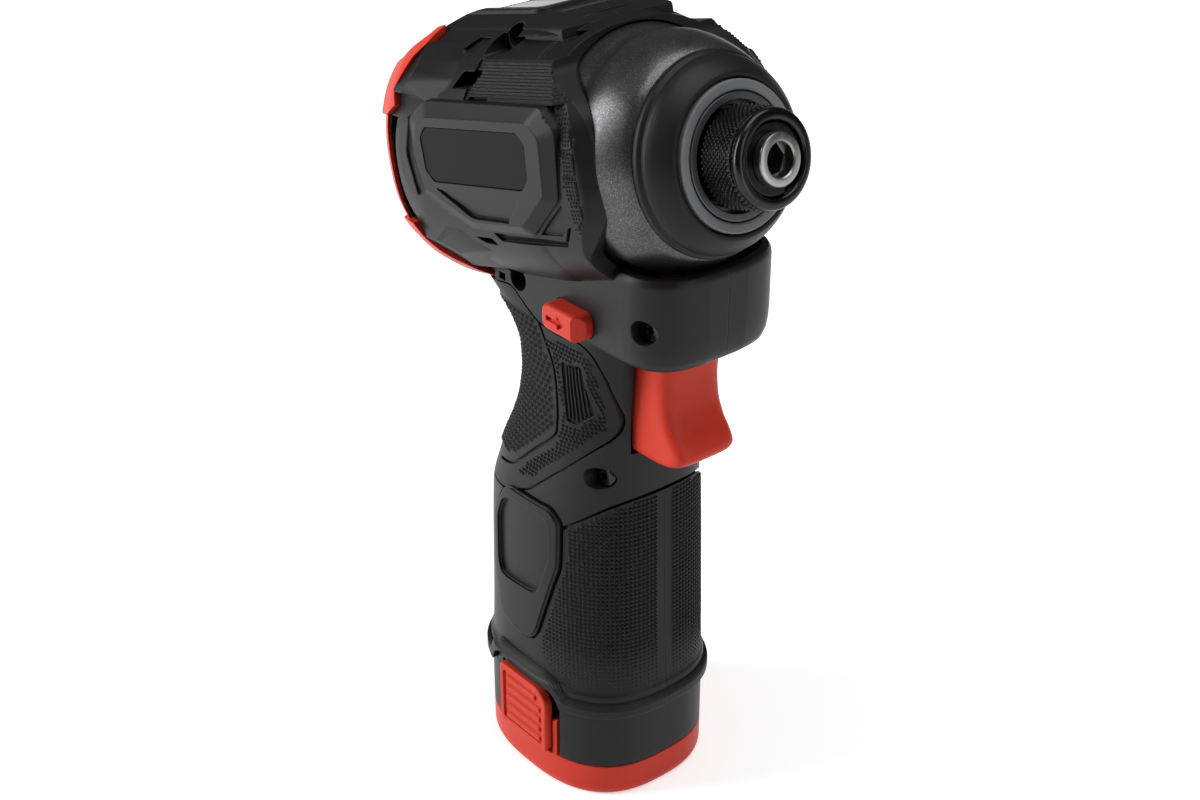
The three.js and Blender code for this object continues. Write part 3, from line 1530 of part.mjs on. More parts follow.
piece('hammer', hammer(), materials.laminate, head);
piece('hammer_washer', tube(recessInner + fitGap * 2, recessOuter - fitGap * 2, recessFront + fitGap,
  recessFront + fitGap + washerThickness, innerSides), materials.steel, head);
piece('hammer_spring', tube(springInner, springOuter, recessFront + fitGap * 2 + washerThickness,
  carrierFront - fitGap, innerSides), materials.steel, head);
piece('camshaft', camshaft(), materials.steel, head);
piece('cam_ball_left', ball(camBallRadius, camBallPlaces()[0]), materials.steel, head);
piece('cam_ball_right', ball(camBallRadius, camBallPlaces()[1]), materials.steel, head);
for (let number = 0; number < planetCount; number += 1) {
  piece(`planet_gear_${number + 1}`, planetGear(number), materials.laminate, head);
}
piece('ring_gear', ringGear(), materials.laminate, head);
piece('gear_cover', gearCover(), materials.case, head);
piece('front_bearing', bearing(frontBearingRadius, coverFront + coverWeb + fitGap, frontBearingWidth),
  materials.steel, head);
piece('rear_bearing', bearing(rearBearingRadius, motorRoomEnd + fitGap, rearBearingWidth),
  materials.steel, head);
piece('rotor_shaft', rotorShaft(), materials.steel, head);
piece('rotor_core', rotorCore(), materials.laminate, head);
piece('cooling_fan', coolingFan(), materials.plastic, head);
piece('stator_core', statorCore(), materials.laminate, head);
piece('stator_windings', statorCoils(), materials.copper, head);

piece('trigger', trigger(), materials.red);
piece('trigger_spring', triggerSpring(), materials.steel);
piece('trigger_switch', switchBody(), materials.plastic);
piece('direction_selector', selector(), materials.red);
piece('control_module', controlModule(), materials.board);
piece('motor_cable', motorCable(), materials.wire);
piece('terminal_block', terminalBlock(), materials.plastic);

piece('battery_tray', packTray(), materials.red);
piece('battery_case', packCase(), materials.shell);
for (let number = 0; number < 4; number += 1) {
  piece(`battery_cell_${number + 1}`, cell(number), materials.cell);
}
piece('battery_board', packBoard(), materials.board);
piece('release_button_right', releaseButton(-1), materials.red);
piece('release_button_left', releaseButton(1), materials.red);

export default tool;
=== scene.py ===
# %% [markdown]
# # A compact impact driver, dressed over its CAD frame
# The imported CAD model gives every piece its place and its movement. This lesson rebuilds what
# the eye meets, such as the moulded housing, the soft grips and the knurled sleeve, in finer
# detail, and gives each surface its own finish. Sizes are in millimetres while we model and
# become metres when a piece is finished.

# %% Load the frame
import json
import math

import bmesh
import bpy
import numpy as np
from mathutils import Matrix, Vector
from mathutils.bvhtree import BVHTree


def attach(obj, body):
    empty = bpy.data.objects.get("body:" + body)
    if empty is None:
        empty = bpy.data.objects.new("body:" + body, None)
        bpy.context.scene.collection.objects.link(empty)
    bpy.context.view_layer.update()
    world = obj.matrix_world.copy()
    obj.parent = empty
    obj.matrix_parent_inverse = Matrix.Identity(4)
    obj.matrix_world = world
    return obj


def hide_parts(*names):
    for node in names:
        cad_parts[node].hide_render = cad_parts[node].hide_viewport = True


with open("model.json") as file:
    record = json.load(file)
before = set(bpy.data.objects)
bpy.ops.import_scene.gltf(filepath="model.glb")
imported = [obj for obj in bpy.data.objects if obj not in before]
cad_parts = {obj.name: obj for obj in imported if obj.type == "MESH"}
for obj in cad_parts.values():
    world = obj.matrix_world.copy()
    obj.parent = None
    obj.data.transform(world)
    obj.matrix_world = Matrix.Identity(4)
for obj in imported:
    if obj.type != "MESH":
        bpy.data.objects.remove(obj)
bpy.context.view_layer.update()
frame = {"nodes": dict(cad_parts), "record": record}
scene = bpy.context.scene
scene.view_settings.view_transform = "Standard"

# %% [markdown]
# ## Camera
# The photograph looks down on the tool from its right front. The lens and the place were worked
# out from the round rings of the nose, which must project to the ellipses seen there, so the
# camera comes first and never changes.

# %% Camera
MM = 0.001
lens = 57.65
looking_down = math.radians(28.74)
turned_left = math.radians(50.50)
camera_place = (315.79, -259.11, 323.81)

camera_data = bpy.data.cameras.new("camera")
camera_data.lens = lens
camera_data.sensor_width = 36
camera = bpy.data.objects.new("camera", camera_data)
camera.location = [side * MM for side in camera_place]
camera.rotation_euler = (math.pi / 2 - looking_down, 0, turned_left)
scene.collection.objects.link(camera)
scene.camera = camera
print("camera at", [round(side, 3) for side in camera.location])

# %% [markdown]
# ## Meshes from rings and outlines
# Moulded tools are drawn as sections joined by a smooth skin, as flat outlines pushed through a
# depth, and as profiles turned about an axis. Three small makers cover them all. A polygon cage
# under a subdivision surface would do too, but rings keep each size readable.


# %% Makers: points, rows and outlines
def new_piece(name, points, faces):
    """A mesh object from points in millimetres, with doubles merged and faces turned out."""
    mesh = bpy.data.meshes.new(name)
    mesh.from_pydata([tuple(map(float, point)) for point in points], [], faces)
    shape = bmesh.new()
    shape.from_mesh(mesh)
    bmesh.ops.remove_doubles(shape, verts=shape.verts, dist=1e-5)
    bmesh.ops.dissolve_degenerate(shape, edges=shape.edges, dist=1e-6)
    bmesh.ops.recalc_face_normals(shape, faces=shape.faces)
    shape.to_mesh(mesh)
    shape.free()
    piece = bpy.data.objects.new(name, mesh)
    scene.collection.objects.link(piece)
    return piece


def smooth_rows(rows, step):
    """Reads a table at close steps along its first column, smoothly and without overshoot."""
    table = np.array(rows, float)
    gaps = np.diff(table[:, 0])
    slopes = np.diff(table[:, 1:], axis=0) / gaps[:, None]
    tangents = np.zeros_like(table[:, 1:])
    tangents[0], tangents[-1] = slopes[0], slopes[-1]
    before, after = slopes[:-1], slopes[1:]
    same = before * after > 0
    total = np.where(same, before + after, 1)
    tangents[1:-1] = np.where(same, 2 * before * after / total, 0)
    read = []
    for i, gap in enumerate(gaps):
        count = max(1, math.ceil(gap / step))
        for t in np.arange(count) / count:
            low, high = table[i, 1:], table[i + 1, 1:]
            value = (low * (1 + 2 * t) + tangents[i] * gap * t) * (1 - t) ** 2
            value += (high * (3 - 2 * t) - tangents[i + 1] * gap * (1 - t)) * t ** 2
            read.append([table[i, 0] + t * gap, *value])
    read.append(list(table[-1]))
    return np.array(read)


def rounded(outline, radius, steps=5):
    """A closed outline with its corners rounded; a third value is a corner's own radius."""
    count = len(outline)
    made = []
    for i, corner in enumerate(outline):
        own = corner[2] if len(corner) > 2 else radius
        here = np.array(corner[:2], float)
        ends = []
        for other in (outline[i - 1], outline[(i + 1) % count]):
            reach = np.array(other[:2], float) - here
            length = np.linalg.norm(reach)
            ends.append(here + reach * min(own / length, 0.45) if length else here)
        if own == 0:
            made.append(here)
            continue
        for t in np.linspace(0, 1, steps + 1):
            made.append(ends[0] * (1 - t) ** 2 + here * 2 * t * (1 - t) + ends[1] * t ** 2)
    return np.array(made)


def flowing(points, steps=8, closed=True):
    """A smooth curve through all the given points."""
    points = np.array(points, float)
    count = len(points)
    made = []
    for i in range(count if closed else count - 1):
        around = [points[(i + k) % count] for k in (-1, 0, 1, 2)]
        if not closed:
            around = [points[min(max(i + k, 0), count - 1)] for k in (-1, 0, 1, 2)]
        a, b, c, d = around
        for t in np.arange(steps) / steps:
            made.append(0.5 * (2 * b + (c - a) * t + (2 * a - 5 * b + 4 * c - d) * t ** 2
                               + (3 * b - a - 3 * c + d) * t ** 3))
    if not closed:
        made.append(points[-1])
    return np.array(made)


def offset(outline, grow):
    """An outline moved outward by grow, with its corners kept."""
    points = np.array([corner[:2] for corner in outline], float)
    following = np.roll(points, -1, axis=0)
    area = np.sum(points[:, 0] * following[:, 1] - following[:, 0] * points[:, 1])
    onward = following - points
    onward /= np.linalg.norm(onward, axis=1)[:, None] + 1e-12
    outward = np.stack([onward[:, 1], -onward[:, 0]], axis=1) * np.sign(area)
    middle = outward + np.roll(outward, 1, axis=0)
    middle /= np.linalg.norm(middle, axis=1)[:, None] + 1e-12
    reach = grow / np.clip(np.sum(middle * outward, axis=1), 0.35, None)
    return points + middle * reach[:, None]


print("a rounded square has", len(rounded([(0, 0), (1, 0), (1, 1), (0, 1)], 0.2)), "points")


# %% Makers: loft, prism and turned piece
def loft(name, rings):
    """A closed skin over rings of equal point counts."""
    rings = np.array(rings, float)
    rows, count = rings.shape[:2]
    faces = []
    for row in range(rows - 1):
        for i in range(count):
            a, b = row * count + i, row * count + (i + 1) % count
            faces.append((a, b, b + count, a + count))
    faces.append(tuple(range(count)))
    faces.append(tuple(reversed(range((rows - 1) * count, rows * count))))
    return new_piece(name, rings.reshape(-1, 3), faces)


def in_view(outline, view, depth):
    """Outline points in 3-D: side view is x and z, plan is x and y, front view is y and z."""
    u, v = np.array(outline)[:, 0], np.array(outline)[:, 1]
    level = np.full_like(u, depth)
    order = {"side": (u, level, v), "plan": (u, v, level), "front": (level, u, v)}
    return np.stack(order[view], axis=1)


def prism(name, outline, view, low, high, soften=0.0, steps=3):
    """An outline pushed through a depth, with its rims rounded by soften."""
    if not soften:
        return loft(name, [in_view(outline, view, low), in_view(outline, view, high)])
    angles = np.linspace(0, math.pi / 2, steps + 1)
    rings = []
    for level, rise, turns in ((low, soften, angles), (high, -soften, angles[::-1])):
        for angle in turns:
            rim = offset(outline, soften * (math.sin(angle) - 1))
            rings.append(in_view(rim, view, level + rise * (1 - math.cos(angle))))
    return loft(name, rings)


def rectangle(across, up):
    return [(across[0], up[0]), (across[1], up[0]), (across[1], up[1]), (across[0], up[1])]


def through(name, outline, reach):
    """A side-view outline pushed through the tool, as far to the right as to the left."""
    return prism(name, outline, "side", -reach, reach)


def one_side(name, outline, side, near, far, *rims):
    """A side-view outline pushed from one distance to another on the right (-1) or left (1)."""
    return prism(name, outline, "side", *sorted((side * near, side * far)), *rims)


def turned(name, profile, soften=0.0, sides=144):
    """A closed profile of (distance behind the nose, radius) turned about the head axis."""
    line = rounded(profile, soften, 4) if soften else np.array([p[:2] for p in profile], float)
    angles = np.arange(sides) * math.tau / sides
    points = []
    for back, radius in line:
        level = np.full(sides, -back)
        points.append(np.stack([level, radius * np.cos(angles), radius * np.sin(angles)], axis=1))
    faces = []
    for row in range(len(line)):
        after = (row + 1) % len(line)
        if line[row][1] < 1e-6 and line[after][1] < 1e-6:
            continue
        for i in range(sides):
            j = (i + 1) % sides
            faces.append((row * sides + i, row * sides + j, after * sides + j, after * sides + i))
    return new_piece(name, np.concatenate(points), faces)


print("makers ready: loft, prism, turned")

# %% [markdown]
# ## Joining and cutting
# A moulded half carries ribs, pockets, vents and holes. Modelling each into one net of polygons
# is slow, so every feature is a closed solid of its own that the exact Boolean modifier joins or
# cuts, and the result becomes a plain mesh before the next step.


# %% Joining and cutting
def bake(piece):
    """Replaces a piece's mesh by what its modifiers make of it."""
    graph = bpy.context.evaluated_depsgraph_get()
    made = bpy.data.meshes.new_from_object(piece.evaluated_get(graph))
    before = piece.data
    piece.modifiers.clear()
    piece.data = made
    bpy.data.meshes.remove(before)
    return piece


def combine(base, tools, operation):
    """Joins, cuts or intersects a piece with other solids, which are used up."""
    for tool in tools:
        step = base.modifiers.new(operation, "BOOLEAN")
        step.operation = operation
        step.solver = "MANIFOLD"
        step.object = tool
    bake(base)
    for tool in tools:
        used = tool.data
        bpy.data.objects.remove(tool)
        bpy.data.meshes.remove(used)
    return base


def join(base, *tools):
    return combine(base, tools, "UNION")


def cut(base, *tools):
    return combine(base, tools, "DIFFERENCE")


def keep(base, *tools):
    return combine(base, tools, "INTERSECT")


def copy_of(piece, name):
    twin = bpy.data.objects.new(name, piece.data.copy())
    scene.collection.objects.link(twin)
    return twin


def moved(piece, matrix):
    piece.data.transform(matrix)
    if matrix.determinant() < 0:
        piece.data.flip_normals()
    return piece


def mirrored(piece, name):
    """The same solid on the tool's other side."""
    return moved(copy_of(piece, name), Matrix.Diagonal((1, -1, 1, 1)))


def cube(name, x, y, z):
    return prism(name, rectangle(x, y), "plan", *z)


print("ways to combine solids: join, cut, keep")

# %% [markdown]
# ## The way to finish a piece
# A finished piece is in metres at the origin, rides a CAD body and stands for its CAD node. Its
# slot picks its finish unless another is given. Flat faces should look flat beside soft corners,
# so faces are smooth below a set angle and the Weighted Normal modifier lets the large faces rule
# the corners they share.

# %% Finish a piece
nose = Vector((59, 0, 180))
head_tilt = math.radians(-14.04)
head = Matrix.Translation(nose) @ Matrix.Rotation(head_tilt, 4, "Y")
sharp_from = math.radians(32)
finished = []


def finish(piece, name, body, slot, *nodes, material=None):
    """Scales a piece to metres, smooths it, dresses it and hangs it on its body."""
    piece.name = name
    piece.data.name = name
    mesh = piece.data
    mesh.transform(Matrix.Scale(MM, 4))
    mesh.polygons.foreach_set("use_smooth", [True] * len(mesh.polygons))
    mesh.set_sharp_from_angle(angle=sharp_from)
    weigh = piece.modifiers.new("weigh", "WEIGHTED_NORMAL")
    weigh.keep_sharp = True
    bake(piece)
    piece.data.name = name
    piece.data.materials.clear()
    piece.data.materials.append(material or slot_finish[slot])
    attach(piece, body)
    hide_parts(*nodes)
    piece.data.calc_loop_triangles()
    finished.append((name, len(piece.data.loop_triangles)))
    print(name, "has", len(piece.data.loop_triangles), "triangles")
    return piece


print("the head tilts by", round(math.degrees(-head_tilt), 2), "degrees")

# %% [markdown]
# ## Shader maths in plain expressions
# Every finish mixes a few patterns. Writing `grain * 0.3 + wear` is easier to read than a list of
# nodes, so one class wraps a socket and turns Python's operators into Math nodes. All other nodes
# come from one method that takes the kind, its settings and its sockets.


# %% A class for materials
class Number:
    """A number socket that Python's operators combine."""

    def __init__(self, finish_, socket):
        self.finish = finish_
        self.socket = socket

    def math(self, operation, *others, turn=False):
        values = [self, *others]
        if turn:
            values.reverse()
        sockets = dict(enumerate(values))
        return self.finish.node("ShaderNodeMath", {"operation": operation}, sockets).number()

    def __add__(self, other):
        return self.math("ADD", other)

    def __sub__(self, other):
        return self.math("SUBTRACT", other)

    def __mul__(self, other):
        return self.math("MULTIPLY", other)

    def __rsub__(self, other):
        return self.math("SUBTRACT", other, turn=True)

    __radd__ = __add__

    def over(self, edge):
        return self.math("GREATER_THAN", edge)

    def under(self, edge):
        return self.math("LESS_THAN", edge)

    def fold(self, size):
        """A triangle wave that rises and falls between 0 and size."""
        return self.math("PINGPONG", size)

    def capped(self):
        return self.math("MINIMUM", 1.0).math("MAXIMUM", 0.0)


class Made:
    """A node that was made, with its outputs at hand."""

    def __init__(self, finish_, node):
        self.finish = finish_
        self.raw = node

    def number(self, output=0):
        return Number(self.finish, self.raw.outputs[output])

    def socket(self, output=0):
        return self.raw.outputs[output]


class Finish:
    """One material and the ways its nodes are added."""

    def __init__(self, name):
        self.material = bpy.data.materials.new(name)
        self.material.use_nodes = True
        self.tree = self.material.node_tree
        self.tree.nodes.clear()
        self.place = self.node("ShaderNodeTexCoord").socket("Object")

    def node(self, kind, settings=None, sockets=None):
        node = self.tree.nodes.new(kind)
        for name, value in (settings or {}).items():
            setattr(node, name, value)
        for key, value in (sockets or {}).items():
            target = node.inputs[key]
            if isinstance(value, Number):
                value = value.socket
            if isinstance(value, bpy.types.NodeSocket):
                self.tree.links.new(value, target)
            else:
                target.default_value = value
        return Made(self, node)

    def noise(self, size, detail=3):
        """Noise whose grains are about size millimetres across."""
        sockets = {"Vector": self.place, "Scale": 1000 / size, "Detail": detail, "Roughness": 0.55}
        return self.node("ShaderNodeTexNoise", None, sockets).number("Fac")

    def spread(self, value, low, high, to_low=0.0, to_high=1.0):
        """Maps a range of one value to another range, held at both ends."""
        sockets = {"Value": value, "From Min": low, "From Max": high, "To Min": to_low,
                   "To Max": to_high}
        return self.node("ShaderNodeMapRange", {"clamp": True}, sockets).number()

    def blend(self, mask, low, high):
        """One colour or the other, by a mask."""
        return self.node("ShaderNodeMix", {"data_type": "RGBA"}, {0: mask, 6: low, 7: high}).socket(2)

    def axes(self, place):
        parts = self.node("ShaderNodeSeparateXYZ", None, {0: place})
        return [parts.number(axis) for axis in range(3)]

    def head_axes(self):
        """The place in the head's own frame, in millimetres: along its axis, beside and up."""
        sockets = {"Location": nose * MM, "Rotation": (0, head_tilt, 0), "Scale": (MM, MM, MM)}
        sockets["Vector"] = self.place
        return self.axes(self.node("ShaderNodeMapping", {"vector_type": "TEXTURE"}, sockets).socket())

    def worn_edge(self, reach):
        """The surface normal, softened near each corner."""
        return self.node("ShaderNodeBevel", {"samples": 6}, {"Radius": reach * MM}).socket()

    def relief(self, height, strength, depth, soft_edge):
        """A bump of the given depth in millimetres, over corners softened by soft_edge."""
        sockets = {"Height": height, "Strength": strength, "Distance": depth * MM}
        sockets["Normal"] = self.worn_edge(soft_edge)
        return self.node("ShaderNodeBump", None, sockets).socket()

    def surface(self, colour, roughness, normal, others=None):
        """The shader itself; others are values for more of its sockets."""
        sockets = {"Base Color": colour, "Roughness": roughness, "Normal": normal, **(others or {})}
        shader = self.node("ShaderNodeBsdfPrincipled", None, sockets)
        self.node("ShaderNodeOutputMaterial", None, {"Surface": shader.socket()})
        return self.material


def tone(red, green, blue):
    """A colour as an 8-bit screen value, made linear for the shader."""
    parts = [part / 255 for part in (red, green, blue)]
    linear = [part / 12.92 if part <= 0.04045 else ((part + 0.055) / 1.055) ** 2.4 for part in parts]
    return (*linear, 1)


print("mid grey is", round(tone(128, 128, 128)[0], 3), "in linear light")

# %% [markdown]
# ## Moulded plastics
# The shells are black glass-filled nylon from a spark-eroded mould: a fine even grain breaks the
# highlight, and hands polish it unevenly. Two noises do this, a fine one for the grain, which
# feeds the bump, and a broad one that shifts the roughness. The red parts are the same plastic
# dyed through, and the soft parts are a rubber that is duller and dustier.


# %% Moulded finishes
def shades(colour, *factors):
    """The same colour at several strengths."""
    return [(*(min(1, part * factor) for part in colour[:3]), 1) for factor in factors]


def moulded(name, colour, roughness, grain, depth, edge, uneven=0.22, edge_highlight=0.5):
    """Dyed plastic with mould grain and hand polish; its corners are softened, carry a painted highlight and
    are glossier.
    """
    made = Finish(name)
    fine = made.noise(grain, 2)
    broad = made.noise(grain * 90, 2)
    mask = (made.spread(fine, 0.3, 0.7) * 0.5 + broad * 0.5).capped()
    base = made.blend(mask, *shades(colour, 1 - uneven, 1 + uneven))
    soft_corner = made.worn_edge(edge)
    flat = made.node("ShaderNodeNewGeometry").socket("Normal")
    same = made.node("ShaderNodeVectorMath", {"operation": "DOT_PRODUCT"}, {0: soft_corner, 1: flat})
    # painted highlight: the base colour is lightened where the softened normal turns from the flat one, along
    # every corner, and the roughness is lower there
    edge_highlight_mask = made.spread(same.number("Value"), 0.985, 0.86, 0.0, edge_highlight)
    highlight_colour = [min(1, part * 1.9 + 0.012) for part in colour[:3]]
    base = made.blend(edge_highlight_mask, base, (*highlight_colour, 1))
    gloss = (broad - 0.5) * 0.08 + fine * 0.08 + (roughness - 0.04) - edge_highlight_mask * 0.1
    return made.surface(base, gloss, made.relief(fine, 0.5, depth, edge), {"Specular IOR Level": 0.2})


shell_black = moulded("shell_black", tone(25, 25, 26), 0.42, 0.34, 0.035, 0.34)
soft_black = moulded("soft_black", tone(22, 22, 23), 0.48, 0.42, 0.03, 0.32)
signal_red = moulded("signal_red", tone(214, 60, 42), 0.42, 0.36, 0.012, 0.45, 0.05, 0.2)
rubber_black = moulded("rubber_black", tone(25, 25, 26), 0.45, 0.3, 0.05, 0.3)
print("moulded finishes:", shell_black.name, soft_black.name, signal_red.name, rubber_black.name)

# %% [markdown]
# ## Metals and paint
# The hammer case is die-cast metal under a dark paint with metal flakes, which glitter as grains
# of differing tilt. Cells of a Voronoi pattern give each flake its own tilt, and the brightest
# flakes a lighter base colour as a painted glint, while a broad noise varies the tone. The
# sleeve is blackened steel, and the anvil is turned bright, so fine rings run round its axis.


# %% Metal finishes
def flake_paint(name):
    made = Finish(name)
    cells = made.node("ShaderNodeTexVoronoi", None, {"Vector": made.place, "Scale": 1000 / 0.13})
    flake = made.node("ShaderNodeSeparateColor", None, {0: cells.socket("Color")})
    # painted glint: the brightest Voronoi flakes get a lighter base colour and a lower roughness
    painted_flake_glint = made.spread(flake.number(0), 0.7, 1.0)
    clouds = made.noise(7, 3)
    base = made.blend((painted_flake_glint * 0.55 + clouds * 0.25).capped(), tone(50, 50, 51), tone(138, 138, 139))
    rough = 0.34 - painted_flake_glint * 0.06 + (clouds - 0.5) * 0.06
    normal = made.relief(flake.number(1), 0.1, 0.02, 0.3)
    return made.surface(base, rough, normal, {"Metallic": 0.8})


def turned_metal(name, colour, roughness, metallic, ring, scuff):
    """Metal with lathe rings about the head axis and light scuffs."""
    made = Finish(name)
    along, across, up = made.head_axes()
    radius = (across * across + up * up).math("SQRT")
    rings = made.node("ShaderNodeTexNoise", {"noise_dimensions": "1D"},
                      {"W": (along + radius * 0.73) * ring, "Scale": 1.0, "Detail": 3.0}).number("Fac")
    marks = made.noise(1.6, 4)
    base = made.blend((marks * 0.7 + rings * 0.3).capped(), *shades(colour, 0.62, 1))
    rough = (roughness - 0.08) + rings * 0.14 + made.spread(marks, 0.5, 0.75) * scuff
    normal = made.relief(rings, 0.25, 0.02, 0.18)
    return made.surface(base, rough, normal, {"Metallic": metallic})


case_paint = flake_paint("flake_paint")
black_oxide = turned_metal("blackened_steel", tone(52, 52, 53), 0.2, 0.9, 9.0, 0.1)
bright_steel = turned_metal("bright_steel", tone(158, 157, 155), 0.34, 1.0, 14.0, 0.1)
ring_grey = turned_metal("ring_grey", tone(88, 89, 91), 0.36, 0.5, 11.0, 0.1)
print("metal finishes:", case_paint.name, black_oxide.name, bright_steel.name)


# %% Small finishes: lamp, label, plate, coils, board, cells and wire
def frosted_lamp(name):
    made = Finish(name)
    mist = made.noise(0.7, 3)
    base = made.blend(made.noise(5, 2), tone(108, 109, 110), tone(126, 127, 128))
    return made.surface(base, 0.38 + mist * 0.15, made.relief(mist, 0.2, 0.02, 0.2),
                        {"Subsurface Weight": 0.3, "Subsurface Radius": (0.002, 0.002, 0.002)})


def printed_sheet(name, colour, roughness):
    made = Finish(name)
    fibre = made.noise(0.28, 3)
    broad = made.noise(14, 2)
    base = made.blend(fibre * 0.6 + broad * 0.4, *shades(colour, 0.8, 1))
    return made.surface(base, (roughness - 0.06) + fibre * 0.12, made.relief(fibre, 0.3, 0.012, 0.15),
                        {"Specular IOR Level": 0.12})


def layered(name, colour, pitch, roughness, metallic):
    """Stacked sheet or wound wire, as fine bands along the head axis."""
    made = Finish(name)
    along, across, up = made.head_axes()
    band = along.fold(pitch / 2) * (2 / pitch)
    stain = made.noise(2.2, 3)
    base = made.blend((band * 0.6 + stain * 0.5).capped(), *shades(colour, 0.45, 1))
    return made.surface(base, roughness + stain * 0.15, made.relief(band, 0.6, pitch / 4, 0.15),
                        {"Metallic": metallic})


def wrapped_cell(name):
    made = Finish(name)
    x, y, z = made.axes(made.place)
    shrink = made.noise(1.2, 3)
    end = (z.over(0.0692) + z.under(0.0068)).capped()
    base = made.blend(end, tone(58, 116, 168), tone(176, 178, 182))
    return made.surface(base, 0.3 + shrink * 0.15, made.relief(shrink, 0.15, 0.05, 0.25),
                        {"Coat Weight": 0.25})


def circuit_board(name):
    made = Finish(name)
    x, y, z = made.axes(made.place)
    grid = ((x * 1000).fold(0.63).under(0.1) + (y * 1000).fold(0.63).under(0.1)).capped()
    speck = made.noise(0.5, 2)
    base = made.blend(grid * 0.5 + speck * 0.2, tone(24, 74, 46), tone(46, 112, 66))
    return made.surface(base, 0.34 + speck * 0.2, made.relief(grid, 0.3, 0.03, 0.15))


lamp_white = frosted_lamp("lamp_white")
label_black = printed_sheet("label_black", tone(12, 12, 13), 0.58)
bare_plate = printed_sheet("bare_plate", tone(206, 206, 204), 0.45)
iron_sheets = layered("iron_sheets", tone(128, 130, 134), 0.5, 0.4, 0.85)
copper_wire = layered("copper_wire", tone(196, 112, 62), 0.7, 0.3, 0.9)
bronze = turned_metal("sintered_bronze", tone(176, 140, 84), 0.4, 0.9, 6.0, 0.1)
cell_blue = wrapped_cell("cell_blue")
board_green = circuit_board("board_green")
wire_sleeve = moulded("wire_sleeve", tone(150, 48, 40), 0.5, 0.3, 0.03, 0.1)
dark_plastic = moulded("inner_plastic", tone(50, 50, 52), 0.55, 0.4, 0.03, 0.25)
slot_finish = {
    "shell": shell_black, "soft": soft_black, "red": signal_red, "case_paint": case_paint,
    "boot": rubber_black, "black_oxide": black_oxide, "steel": bright_steel, "lamp": lamp_white,
    "nickel": ring_grey, "bronze": bronze, "copper": copper_wire, "iron": iron_sheets,
    "board": board_green, "plate": label_black, "bare": bare_plate, "cell": cell_blue,
    "wire": wire_sleeve, "dark_plastic": dark_plastic,
}
print("finishes for", len(slot_finish), "slots")

# %% [markdown]
# ## The housing: barrel, handle and box
# The outside is three forms that flow into each other: a squared-off barrel for the motor, a
# waisted handle, and an open box that carries the hammer case. Each is a loft over superellipse
# rings, whose exponent sets how square a section is, read smoothly from a short table.

# %% Barrel, handle and box forms
barrel_length, barrel_side, barrel_top, barrel_bottom, barrel_square = 105.5, 31.0, 32.0, 30.0, 2.4
barrel_shares = [
    (0.251, 0.925, 0.870, 0.930), (0.388, 0.970, 0.893, 0.960), (0.432, 0.982, 0.925, 0.975),
    (0.4474, 0.985, 0.928, 0.980), (0.4512, 0.990, 0.975, 0.985), (0.521, 1.000, 1.000, 1.000),
    (0.834, 1.000, 1.000, 0.985), (0.910, 0.974, 0.956, 0.942), (0.962, 0.918, 0.898, 0.878),
    (0.9905, 0.823, 0.815, 0.785), (1.000, 0.710, 0.720, 0.680),
]
handle_top, handle_foot, handle_reach, handle_side, handle_square = 140.0, 25.5, 27.8, 23.6, 2.6
handle_shares = [
    (0.182, 1.0, 1.0, 1.0), (0.221, 1.0, 1.0, 1.0), (0.229, 0.979, 0.979, 0.970),
    (0.536, 0.928, 0.943, 0.926), (0.600, 0.921, 0.845, 0.900), (0.643, 0.921, 0.755, 0.878),
    (0.693, 0.928, 0.622, 0.857), (0.750, 0.935, 0.511, 0.839), (0.807, 0.935, 0.468, 0.831),
    (0.850, 0.935, 0.489, 0.831), (0.886, 0.946, 0.612, 0.831), (0.914, 0.964, 0.810, 0.831),
    (0.950, 0.989, 1.115, 0.827), (1.000, 1.007, 1.295, 0.805),
]


def oval(square, count, front=None):
    """A squared-off oval of half width 1; its front half may be squarer than its rear half."""
    angles = np.arange(count) * math.tau / count
    bend = np.where(np.cos(angles) > 0, 2 / (front or square), 2 / square)
    return [np.sign(part) * np.abs(part) ** bend for part in (np.cos(angles), np.sin(angles))]


def barrel(name, grow=0.0, count=144):
    u, v = oval(barrel_square, count)
    rows = smooth_rows(barrel_shares, 0.014)
    rings = []
    for along, side, top, bottom in rows:
        rise = np.where(v > 0, barrel_top * top + grow, barrel_bottom * bottom + grow)
        rearward = grow if along > 0.97 else 0
        level = np.full(count, -barrel_length * along - rearward)
        rings.append(np.stack([level, u * (barrel_side * side + grow), v * rise], axis=1))
    return loft(name, rings)


def handle_row(height):
    """Front, rear and side reach of the handle at a height."""
    rows = handle_rows
    return [np.interp(height, rows[:, 0], rows[:, k]) for k in (1, 2, 3)]


handle_sizes = np.array([handle_top, handle_reach, handle_reach, handle_side])
handle_rows = smooth_rows(np.array(handle_shares) * handle_sizes, 1.0)


def oval_ring(front, rear, side, height, square, count, corner=None):
    u, v = oval(square, count, corner)
    level = np.full(count, height)
    return np.stack([(front - rear) / 2 + u * (front + rear) / 2, v * side, level], axis=1)


def handle(name, inset=0.0, low=handle_foot, high=handle_top, count=128):
    levels = [low, *[z for z in handle_rows[:, 0] if low + 0.2 < z < high - 0.2], high]
    rings = []
    for height in levels:
        front, rear, side = (reach - inset for reach in handle_row(height))
        corner = handle_square + 3.2 * np.clip((height - 106) / 26, 0, 1) ** 1.6
        rings.append(oval_ring(front, rear, side, height, handle_square, count, corner))
    return loft(name, rings)


box_front, box_side, box_back, box_floor, box_wall = 45.2, 19.4, 14.0, 128.0, 2.4
box_corner = [(0, 0.27), (0.012, 0.47), (0.036, 0.66), (0.08, 0.82), (0.14, 0.93), (0.21, 0.985),
              (0.28, 1.0)]


def box_outline(back):
    corner = [((1 - behind) * box_front, beside * box_side) for behind, beside in box_corner]
    curve = [tuple(point) for point in flowing(corner, 5, closed=False)]
    other = [(x, -y) for x, y in reversed(curve)]
    return [(back, -box_side), *other, *curve, (back, box_side)]


